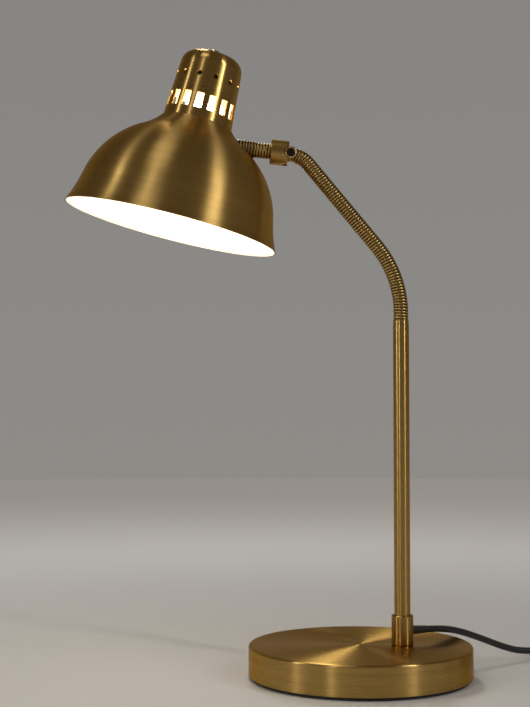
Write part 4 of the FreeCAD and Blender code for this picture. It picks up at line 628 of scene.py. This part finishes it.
# the lower cap and the lampholder glow as painted light
cap_enamel = glowing("cap_enamel", (0.50, 0.44, 0.34), PAINTED_SHADE, (0.75, 0.50, 0.24), UNLIT, 0.028, 0.034, 0.5)
holder_white = glowing("holder_white", (0.90, 0.88, 0.82), PAINTED_SHADE, (0.80, 0.56, 0.28), UNLIT, 0.474, 0.482, 0.45)
bulb_glow, tree, output = new_material("opal_glass")
surface = tree.nodes.new("ShaderNodeBsdfPrincipled")
surface.inputs["Roughness"].default_value = 0.25
surface.inputs["Emission Strength"].default_value = 12.0
where = tree.nodes.new("ShaderNodeTexCoord")
haze = tree.nodes.new("ShaderNodeTexNoise")
haze.inputs["Scale"].default_value = 40.0
tree.links.new(where.outputs["Object"], haze.inputs["Vector"])
opal = colour_mix(tree, haze.outputs["Fac"], (0.95, 0.93, 0.88, 1), (0.90, 0.88, 0.83, 1))
warm_light = colour_mix(tree, haze.outputs["Fac"], (1.0, 0.86, 0.62, 1), (1.0, 0.82, 0.56, 1))
tree.links.new(opal, surface.inputs["Base Color"])
tree.links.new(warm_light, surface.inputs["Emission Color"])
tree.links.new(surface.outputs["BSDF"], output.inputs["Surface"])

# %% [markdown]
# ## Turned and spun parts
# A spun part is a profile turned about an axis. A Screw modifier could turn it, but the helper makes the rings of
# vertices itself, so that the inside and the outside of one closed mesh can have their own finish.

# %% Helper: a turned mesh
def arc(centre, radius, start, end, count):
    """Points on an arc in the profile plane, with angles in degrees from the axis."""
    angles = [math.radians(start + (end - start) * step / count) for step in range(count + 1)]
    return [(centre[0] + radius * math.sin(a), centre[1] + radius * math.cos(a)) for a in angles]


SAME_POINT, ON_AXIS = 1e-4, 1e-6
SHARP_EDGE = math.radians(35)


def turned(name, sections, matrix, body, around):
    """Turn profile sections, each a list of (radius, height) in mm and a material, about the object's Z."""
    points, paints = [], []
    for number, (section, _) in enumerate(sections):
        for point in section:
            if not points or math.dist(points[-1], point) > SAME_POINT:
                points.append(point)
                paints.append(number)
    mesh = bmesh.new()
    rows = []
    for radius, height in points:
        if radius < ON_AXIS:
            rows.append([mesh.verts.new((0, 0, height * MM))] * around)
            continue
        ring = []
        for step in range(around):
            angle = 2 * math.pi * step / around
            ring.append(mesh.verts.new((radius * MM * math.cos(angle), radius * MM * math.sin(angle), height * MM)))
        rows.append(ring)
    pairs = list(zip(range(len(rows)), range(1, len(rows))))
    if points[0][0] > ON_AXIS and points[-1][0] > ON_AXIS:
        pairs.append((len(rows) - 1, 0))
    for low, high in pairs:
        for step in range(around):
            following = (step + 1) % around
            corners = [rows[low][step], rows[low][following], rows[high][following], rows[high][step]]
            unique = list(dict.fromkeys(corners))
            if len(unique) > 2:
                face = mesh.faces.new(unique)
                face.material_index = paints[high] if high else paints[low]
                face.smooth = True
    bmesh.ops.recalc_face_normals(mesh, faces=mesh.faces)
    data = bpy.data.meshes.new(name)
    mesh.to_mesh(data)
    mesh.free()
    for _, material in sections:
        data.materials.append(material)
    data.set_sharp_from_angle(angle=SHARP_EDGE)
    piece = bpy.data.objects.new(name, data)
    scene.collection.objects.link(piece)
    piece.matrix_world = matrix
    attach(piece, body)
    print(f"{name}: {len(data.vertices)} vertices")
    return piece


# %% [markdown]
# ### Base
# A disc spun from sheet over a cast weight. Its top edge is rolled over a small radius, and that narrow rounding is
# what draws the bright line along the front.

# %% Base shell
BASE_RADIUS, BASE_TOP, BASE_FOOT, BASE_ROLL = 90.0, 26.2, 2.5, 1.8
HOLLOW_RADIUS, HOLLOW_TOP = 88.6, 25.0
FLANK_START, FLANK_HIGH = 3.2, 21.0
FLANK_STEPS, TOP_STEPS = 6, 30
flat_radius = BASE_RADIUS - BASE_ROLL
base_profile = (
    [(HOLLOW_RADIUS, HOLLOW_TOP), (HOLLOW_RADIUS, BASE_FOOT), (BASE_RADIUS, BASE_FOOT), (BASE_RADIUS, FLANK_START)]
    + [(BASE_RADIUS, FLANK_START + FLANK_HIGH * step / FLANK_STEPS) for step in range(1, FLANK_STEPS + 1)]
    + arc((flat_radius, BASE_TOP - BASE_ROLL), BASE_ROLL, 90, 0, 8)
    + [(flat_radius - flat_radius * step / TOP_STEPS, BASE_TOP) for step in range(1, TOP_STEPS + 1)]
)
base_underside = [(0, HOLLOW_TOP), (HOLLOW_RADIUS, HOLLOW_TOP)]
base_sections = [(base_profile, base_brass), (base_underside, base_brass)]
base_shell = turned("base_shell_spun", base_sections, Matrix.Identity(4), "stand", around=192)
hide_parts("base_shell")

# %% [markdown]
# ### Dome
# Seen from outside the dome is a bell: a flared lip, a full round flank and a hollow shoulder that runs up into the
# cap. The outside is brass, and the inside is white enamel. The lip is rolled, with a narrow bright edge. Three arcs
# that run smoothly into each other draw the bell, so each can be fitted to the photo by its centre and radius.

# %% Dome of the shade
DOME_CENTRE, DOME_CURVE = (6.5, 10.7), 75.0
LIP_HEIGHT, LIP_CURVE = 26.0, 128.9
SHOULDER_ANGLE, SHOULDER_CURVE, NECK_ANGLE = 30.3, 52.9, 52.0
SHADE_WALL = 1.0
dome_angle = math.degrees(math.acos((LIP_HEIGHT - DOME_CENTRE[1]) / DOME_CURVE))
side = math.radians(dome_angle)
lip_centre = (
    DOME_CENTRE[0] + (DOME_CURVE + LIP_CURVE) * math.sin(side), LIP_HEIGHT + LIP_CURVE * math.cos(side)
)
shoulder = math.radians(SHOULDER_ANGLE)
sweep_centre = (
    DOME_CENTRE[0] + (DOME_CURVE + SHOULDER_CURVE) * math.sin(shoulder),
    DOME_CENTRE[1] + (DOME_CURVE + SHOULDER_CURVE) * math.cos(shoulder),
)
CAP_FOOT = sweep_centre[1] - SHOULDER_CURVE * math.cos(math.radians(NECK_ANGLE))


def dome_skin(depth):
    """The dome's skin from rim to cap, a depth inside its outside."""
    lip = LIP_CURVE + depth
    sweep = SHOULDER_CURVE + depth
    low = math.degrees(math.acos(-lip_centre[1] / lip))
    points = arc(lip_centre, lip, -low, dome_angle - 180, 14)
    points += arc(DOME_CENTRE, DOME_CURVE - depth, dome_angle, SHOULDER_ANGLE, 28)[1:]
    points += arc(sweep_centre, sweep, SHOULDER_ANGLE - 180, NECK_ANGLE - 180, 14)[1:]
    return points


outer_skin = dome_skin(0)
inner_skin = dome_skin(SHADE_WALL)
print("rim radius", round(outer_skin[0][0], 2), "cap foot", round(CAP_FOOT, 2))
CAP_TAPER = math.tan(math.radians(4.0))
NECK_HIGH, NECK_RADIUS = 7.0, 27.8
RIM_INSIDE, RIM_OUTSIDE, RIM_LIFT = 0.25, 0.1, 0.12
neck_bore = NECK_RADIUS - SHADE_WALL
neck_outside = [(NECK_RADIUS, CAP_FOOT), (NECK_RADIUS - NECK_HIGH * CAP_TAPER, CAP_FOOT + NECK_HIGH)]
neck_inside = [(neck_bore - NECK_HIGH * CAP_TAPER, CAP_FOOT + NECK_HIGH), (neck_bore, CAP_FOOT - SHADE_WALL)]
rim_round = [(inner_skin[0][0] + RIM_INSIDE, 0.0), (outer_skin[0][0] - RIM_OUTSIDE, 0.0)]
dome = turned(
    "shade_dome_spun",
    [
        (rim_round + [(outer_skin[0][0], RIM_LIFT)] + outer_skin[1:] + neck_outside + neck_inside[:1], shade_brass),
        (neck_inside[1:] + inner_skin[::-1][:-1] + [(inner_skin[0][0], RIM_INSIDE)], shade_enamel),
    ],
    shade_place,
    "shade",
    around=224,
)

# %% [markdown]
# The arm passes through the wall of the dome, so the hole is cut with a Boolean modifier, applied at once.

# %% Hole for the arm in the dome
def apply_modifiers(piece):
    """Turn the piece's modifiers into plain mesh."""
    bpy.context.view_layer.update()
    ready = piece.evaluated_get(bpy.context.evaluated_depsgraph_get())
    data = bpy.data.meshes.new_from_object(ready)
    piece.modifiers.clear()
    piece.data = data


def cutter_cylinder(radius, depth, matrix, segments=40):
    """A bmesh cylinder used only to cut another piece."""
    mesh = bmesh.new()
    bmesh.ops.create_cone(mesh, cap_ends=True, segments=segments, radius1=radius, radius2=radius, depth=depth)
    bmesh.ops.transform(mesh, matrix=matrix, verts=mesh.verts)
    return mesh


def cut_out(piece, cutters):
    """Cut bmesh shapes, placed where the lamp stands, out of a piece."""
    whole = bmesh.new()
    for cutter in cutters:
        part = bpy.data.meshes.new("cutter")
        cutter.to_mesh(part)
        whole.from_mesh(part)
        bpy.data.meshes.remove(part)
        cutter.free()
    data = bpy.data.meshes.new("cutters")
    whole.to_mesh(data)
    whole.free()
    tool = bpy.data.objects.new("cutters", data)
    scene.collection.objects.link(tool)
    trim = piece.modifiers.new("cut", "BOOLEAN")
    trim.object = tool
    trim.solver = "EXACT"
    apply_modifiers(piece)
    bpy.data.objects.remove(tool)
    piece.data.set_sharp_from_angle(angle=SHARP_EDGE)


ARM_BORE, ARM_CUT = 5.2 * MM, 30 * MM
arm_turn = arm_way.to_track_quat("Z", "Y").to_matrix().to_4x4()
hole_middle = hinge_place + arm_way * (ARM_REACH + 2 * MM)
cut_out(dome, [cutter_cylinder(ARM_BORE, ARM_CUT, Matrix.Translation(hole_middle) @ arm_turn)])
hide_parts("shade_dome")
print("dome after cutting:", len(dome.data.polygons), "faces")

# %% [markdown]
# ### Vent cap
# The cap is a small tapered cup over the neck of the dome. Tall slots let the heat out low down, and small round
# holes let it out near the top. The slots glow: the bulb shines up into the cap, and the inside of the cap has a
# painted glow as well. They could be painted on, but real openings show the light from every side.

# %% Vent cap
CAP_HIGH, CAP_RADIUS, CAP_EDGE, CAP_BORE = 57.6, 28.8, 11.0, 3.05
CAP_WALL, CAP_SIDE_WALL = 1.0, 1.005
CAP_STEPS = 16
cap_side = CAP_HIGH - CAP_EDGE
side_heights = [cap_side * step / CAP_STEPS for step in range(CAP_STEPS)]
side_points = [(CAP_RADIUS - height * CAP_TAPER, height) for height in side_heights]
edge_centre = (CAP_RADIUS - cap_side * CAP_TAPER - CAP_EDGE, cap_side)
cap_outside = side_points + arc(edge_centre, CAP_EDGE, 90, 0, 14) + [(CAP_BORE, CAP_HIGH)]
cap_inside = (
    [(CAP_BORE, CAP_HIGH - CAP_WALL)]
    + arc(edge_centre, CAP_EDGE - CAP_WALL, 0, 90, 14)
    + [(radius - CAP_SIDE_WALL, height) for radius, height in side_points][::-1]
)
cap_place = shade_place @ Matrix.Translation((0, 0, CAP_FOOT * MM))
cap = turned(
    "vent_cap_spun", [(cap_outside, cap_brass), (cap_inside, cap_enamel)], cap_place, "shade", around=192
)


CORNER_STEPS = 4


def rounded_slot(width, height, corner, depth, matrix):
    """A bmesh block with rounded corners, standing on its side, used to cut a slot."""
    outline = []
    for x, z, start in ((1, 1, 0), (-1, 1, 90), (-1, -1, 180), (1, -1, 270)):
        for step in range(CORNER_STEPS + 1):
            angle = math.radians(start + 90 * step / CORNER_STEPS)
            outline.append((
                x * (width / 2 - corner) + corner * math.cos(angle),
                z * (height / 2 - corner) + corner * math.sin(angle),
            ))
    mesh = bmesh.new()
    near = [mesh.verts.new((0, a, b)) for a, b in outline]
    far = [mesh.verts.new((depth, a, b)) for a, b in outline]
    mesh.faces.new(near[::-1])
    mesh.faces.new(far)
    for number in range(len(outline)):
        following = (number + 1) % len(outline)
        mesh.faces.new([near[number], near[following], far[following], far[number]])
    bmesh.ops.transform(mesh, matrix=matrix, verts=mesh.verts)
    return mesh


SLOTS, SLOT_PHASE, SLOT_MIDDLE = 16, -90.5, 13.5
SLOT_WIDTH, SLOT_HEIGHT, SLOT_CORNER = 6.2 * MM, 12.5 * MM, 0.8 * MM
SLOT_CUT_START, SLOT_CUT = 18 * MM, 14 * MM
HOLES, HOLE_PHASE, HOLE_MIDDLE = 12, -72.0, 35.5
HOLE_RADIUS, HOLE_CUT_MIDDLE, HOLE_CUT = 2.0 * MM, 24 * MM, 12 * MM
vent_cutters = []
for number in range(SLOTS):
    turn = Matrix.Rotation(math.radians(SLOT_PHASE + 360 * number / SLOTS), 4, "Z")
    spot = cap_place @ turn @ Matrix.Translation((SLOT_CUT_START, 0, SLOT_MIDDLE * MM))
    vent_cutters.append(rounded_slot(SLOT_WIDTH, SLOT_HEIGHT, SLOT_CORNER, SLOT_CUT, spot))
lying = Matrix.Rotation(math.pi / 2, 4, "Y")
for number in range(HOLES):
    turn = Matrix.Rotation(math.radians(HOLE_PHASE + 360 * number / HOLES), 4, "Z")
    spot = cap_place @ turn @ Matrix.Translation((HOLE_CUT_MIDDLE, 0, HOLE_MIDDLE * MM)) @ lying
    vent_cutters.append(cutter_cylinder(HOLE_RADIUS, HOLE_CUT, spot, segments=24))
cut_out(cap, vent_cutters)
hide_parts("vent_cap")
print("cap after cutting:", len(cap.data.polygons), "faces")

# %% [markdown]
# ## Gooseneck
# A gooseneck is a strip of round-backed wire wound tight on itself, so it bends and stays. A real coil of wire would
# need many more faces and open gaps where it bends.

# %% Centre line of the gooseneck
NECK_FOOT = Vector((POLE_X, 0, 287.5))
NECK_START, NECK_RUN = 6.0, 87.6
BEND_RADIUS, BEND_ANGLE = 86.0, math.radians(39.5)
TIP_RADIUS, TIP_ANGLE = 20.0, math.radians(30)
# radius (0 where it is straight) and length of each part of the line
neck_parts = (
    (0, NECK_START),
    (BEND_RADIUS, BEND_RADIUS * BEND_ANGLE),
    (0, NECK_RUN),
    (TIP_RADIUS, TIP_RADIUS * TIP_ANGLE),
)
NECK_LENGTH = sum(length for _, length in neck_parts)


def neck_point(distance):
    """The place and the lean of the gooseneck's middle at a distance along it, in mm."""
    place, lean = NECK_FOOT.copy(), 0.0
    for radius, length in neck_parts:
        step = min(max(distance, 0), length)
        if radius:
            turn = step / radius
            sideways = -radius * (math.cos(lean) - math.cos(lean + turn))
            upwards = radius * (math.sin(lean + turn) - math.sin(lean))
            place += Vector((sideways, 0, upwards))
            lean += turn
        else:
            place += Vector((-math.sin(lean), 0, math.cos(lean))) * step
        distance -= length
    return place, lean


print("gooseneck length", round(NECK_LENGTH, 1), "mm, ends at", [round(v, 1) for v in neck_point(NECK_LENGTH)[0]])

# %% Gooseneck winding
PITCH = 2.38
WIRE_DEPTH = 0.80
TUBE_WALL = 2.0


def winding(name, start, end, frame_at, outside, paint, around=40, steps=10):
    """A closed tube from start to end, in mm, whose outside follows a wire wound round it."""
    mesh = bmesh.new()
    count = max(2, round((end - start) / PITCH * steps))
    angles = [2 * math.pi * step / around for step in range(around)]
    rows, grooves = [], []
    for index in range(count + 1):
        distance = start + (end - start) * index / count
        place, side, normal = frame_at(distance)
        row = []
        for step, angle in enumerate(angles):
            phase = (distance / PITCH + step / around) % 1.0
            swell = math.sqrt(max(0.0, 1 - (2 * phase - 1) ** 2))
            radius = outside - WIRE_DEPTH * (1 - swell)
            grooves.append(1 - swell)
            row.append(mesh.verts.new((place + (side * math.cos(angle) + normal * math.sin(angle)) * radius) * MM))
        rows.append(row)
    bore = []
    for distance in (end, start):
        place, side, normal = frame_at(distance)
        bore.append([
            mesh.verts.new((place + (side * math.cos(angle) + normal * math.sin(angle)) * (outside - TUBE_WALL)) * MM)
            for angle in angles
        ])
    rows = rows + bore
    for low, high in zip(range(len(rows)), list(range(1, len(rows))) + [0]):
        for step in range(around):
            following = (step + 1) % around
            face = mesh.faces.new([rows[low][step], rows[low][following], rows[high][following], rows[high][step]])
            face.smooth = True
    bmesh.ops.recalc_face_normals(mesh, faces=mesh.faces)
    data = bpy.data.meshes.new(name)
    mesh.to_mesh(data)
    mesh.free()
    # the groove depth drives the painted shade; the bore counts as deepest, fully shaded
    depth = data.attributes.new("groove", "FLOAT", "POINT")
    depth.data.foreach_set("value", grooves + [1.0] * (2 * around))
    piece = bpy.data.objects.new(name, data)
    scene.collection.objects.link(piece)
    data.materials.append(paint)
    return piece


def neck_frame(distance):
    """Place, in-plane side and sideways directions of the gooseneck at a distance."""
    place, lean = neck_point(distance)
    return place, Vector((math.cos(lean), 0, math.sin(lean))), Vector((0, 1, 0))


NECK_OUTSIDE = 6.1
HINGES, FIRST_HINGE, HINGE_GAP = 6, 14.0, 26.0
BLEND_REACH = 8.0
hinge_marks = [FIRST_HINGE + HINGE_GAP * number for number in range(HINGES)]
cad_links = ["neck_root", "neck_link_1", "neck_link_2", "neck_link_3", "neck_link_4", "neck_link_5", "neck_tip"]
marks = [0.0] + [mark + HINGE_GAP / 2 for mark in hinge_marks[:-1]] + [NECK_LENGTH]
for number, mark in enumerate(hinge_marks):
    stretch = winding(
        f"gooseneck_{number + 1}", marks[number], marks[number + 1], neck_frame, NECK_OUTSIDE, neck_brass
    )
    first, last = neck_point(mark - BLEND_REACH)[0] * MM, neck_point(mark + BLEND_REACH)[0] * MM
    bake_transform(stretch)
    # the last stretch stands for the last link and the tip
    names = cad_links[number:] if number == HINGES - 1 else [cad_links[number]]
    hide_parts(*names)
print("gooseneck stretches:", len(hinge_marks))

# %% [markdown]
# ### Ribbed sleeve on the arm
# The short arm wears the same winding, from the joint to the shade. Its last stretch is a little thicker, and its
# brass is painted darker as shade next to the dome. The wall of the dome trims it, so a solid copy of the dome is cut
# away from it.

# %% Ribbed sleeve
arm_side = (arm_turn @ Vector((1, 0, 0))).normalized()
arm_normal = (arm_turn @ Vector((0, 1, 0))).normalized()


def arm_frame(distance):
    """Place and directions of the arm's middle at a distance from the hinge, in mm."""
    return hinge_place / MM + arm_way * distance, arm_side, arm_normal


def dome_core():
    """The dome without its hollow, as a bmesh placed where the dome stands."""
    outline = [(0, 0)] + outer_skin + neck_outside + [(0, CAP_FOOT + NECK_HIGH)]
    mesh = bmesh.new()
    spine = [mesh.verts.new((radius * MM, 0, height * MM)) for radius, height in outline]
    edges = [mesh.edges.new(pair) for pair in zip(spine, spine[1:])]
    bmesh.ops.spin(mesh, geom=spine + edges, axis=(0, 0, 1), cent=(0, 0, 0), angle=2 * math.pi, steps=128)
    bmesh.ops.remove_doubles(mesh, verts=mesh.verts, dist=1e-6)
    bmesh.ops.recalc_face_normals(mesh, faces=mesh.faces)
    bmesh.ops.transform(mesh, matrix=shade_place, verts=mesh.verts)
    return mesh


SLEEVE_START, SLEEVE_END, SEAT_END = 16.9, 29.68, 48.0
SLEEVE_OUTSIDE, SEAT_OUTSIDE = 6.3, 6.9
sleeve = winding("arm_sleeve", SLEEVE_START, SLEEVE_END, arm_frame, SLEEVE_OUTSIDE, neck_brass)
seat = winding("arm_seat_ribs", SLEEVE_END, SEAT_END, arm_frame, SEAT_OUTSIDE, shaded_seat_brass)
cut_out(seat, [dome_core()])
for piece, node in ((sleeve, "arm_coil"), (seat, "arm_seat")):
    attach(piece, "shade")
    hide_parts(node)
print("seat:", len(seat.data.polygons), "faces")

# %% [markdown]
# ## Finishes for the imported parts
# Every other part has the right shape already, so it only takes a finish.

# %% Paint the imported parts
finishes = {
    pad_rubber: ["base_pad"],
    cast_iron: ["base_weight"],
    plated_steel: [
        "base_nipple", "base_washer", "base_nut", "swivel_nut", "arm_inner_nut", "holder_stud", "bulb_screw_cap",
        "bulb_contact", "switch_screws", "plug_pins",
    ],
    pole_brass: ["pole_tube", "pole_collar", "neck_ferrule"],
    small_brass: ["neck_tongue", "hinge_barrel", "barrel_cap", "arm_tube"],
    bright_brass: ["hinge_cup_washer", "hinge_nut", "cap_finial", "holder_shell"],
    black_steel: ["collar_grub_screw", "hinge_screw"],
    moulded_black: ["cord_relief", "arm_inner_seat", "plug_body"],
    holder_white: ["holder_body"],
    satin_black: ["switch_lower", "switch_upper", "switch_rocker"],
    pale_sheath: ["pole_lead", "shade_lead"],
    bulb_glow: ["bulb_glass"],
}
for material, names in finishes.items():
    for name in names:
        data = nodes[name].data
        data.materials.clear()
        data.materials.append(material)
for cord in (lamp_cord, plug_cord):
    cord.data.materials.append(cord_sheath)
print("painted parts:", sum(len(names) for names in finishes.values()))

# %% [markdown]
# ## Finish

# %% Finish
bpy.context.view_layer.update()
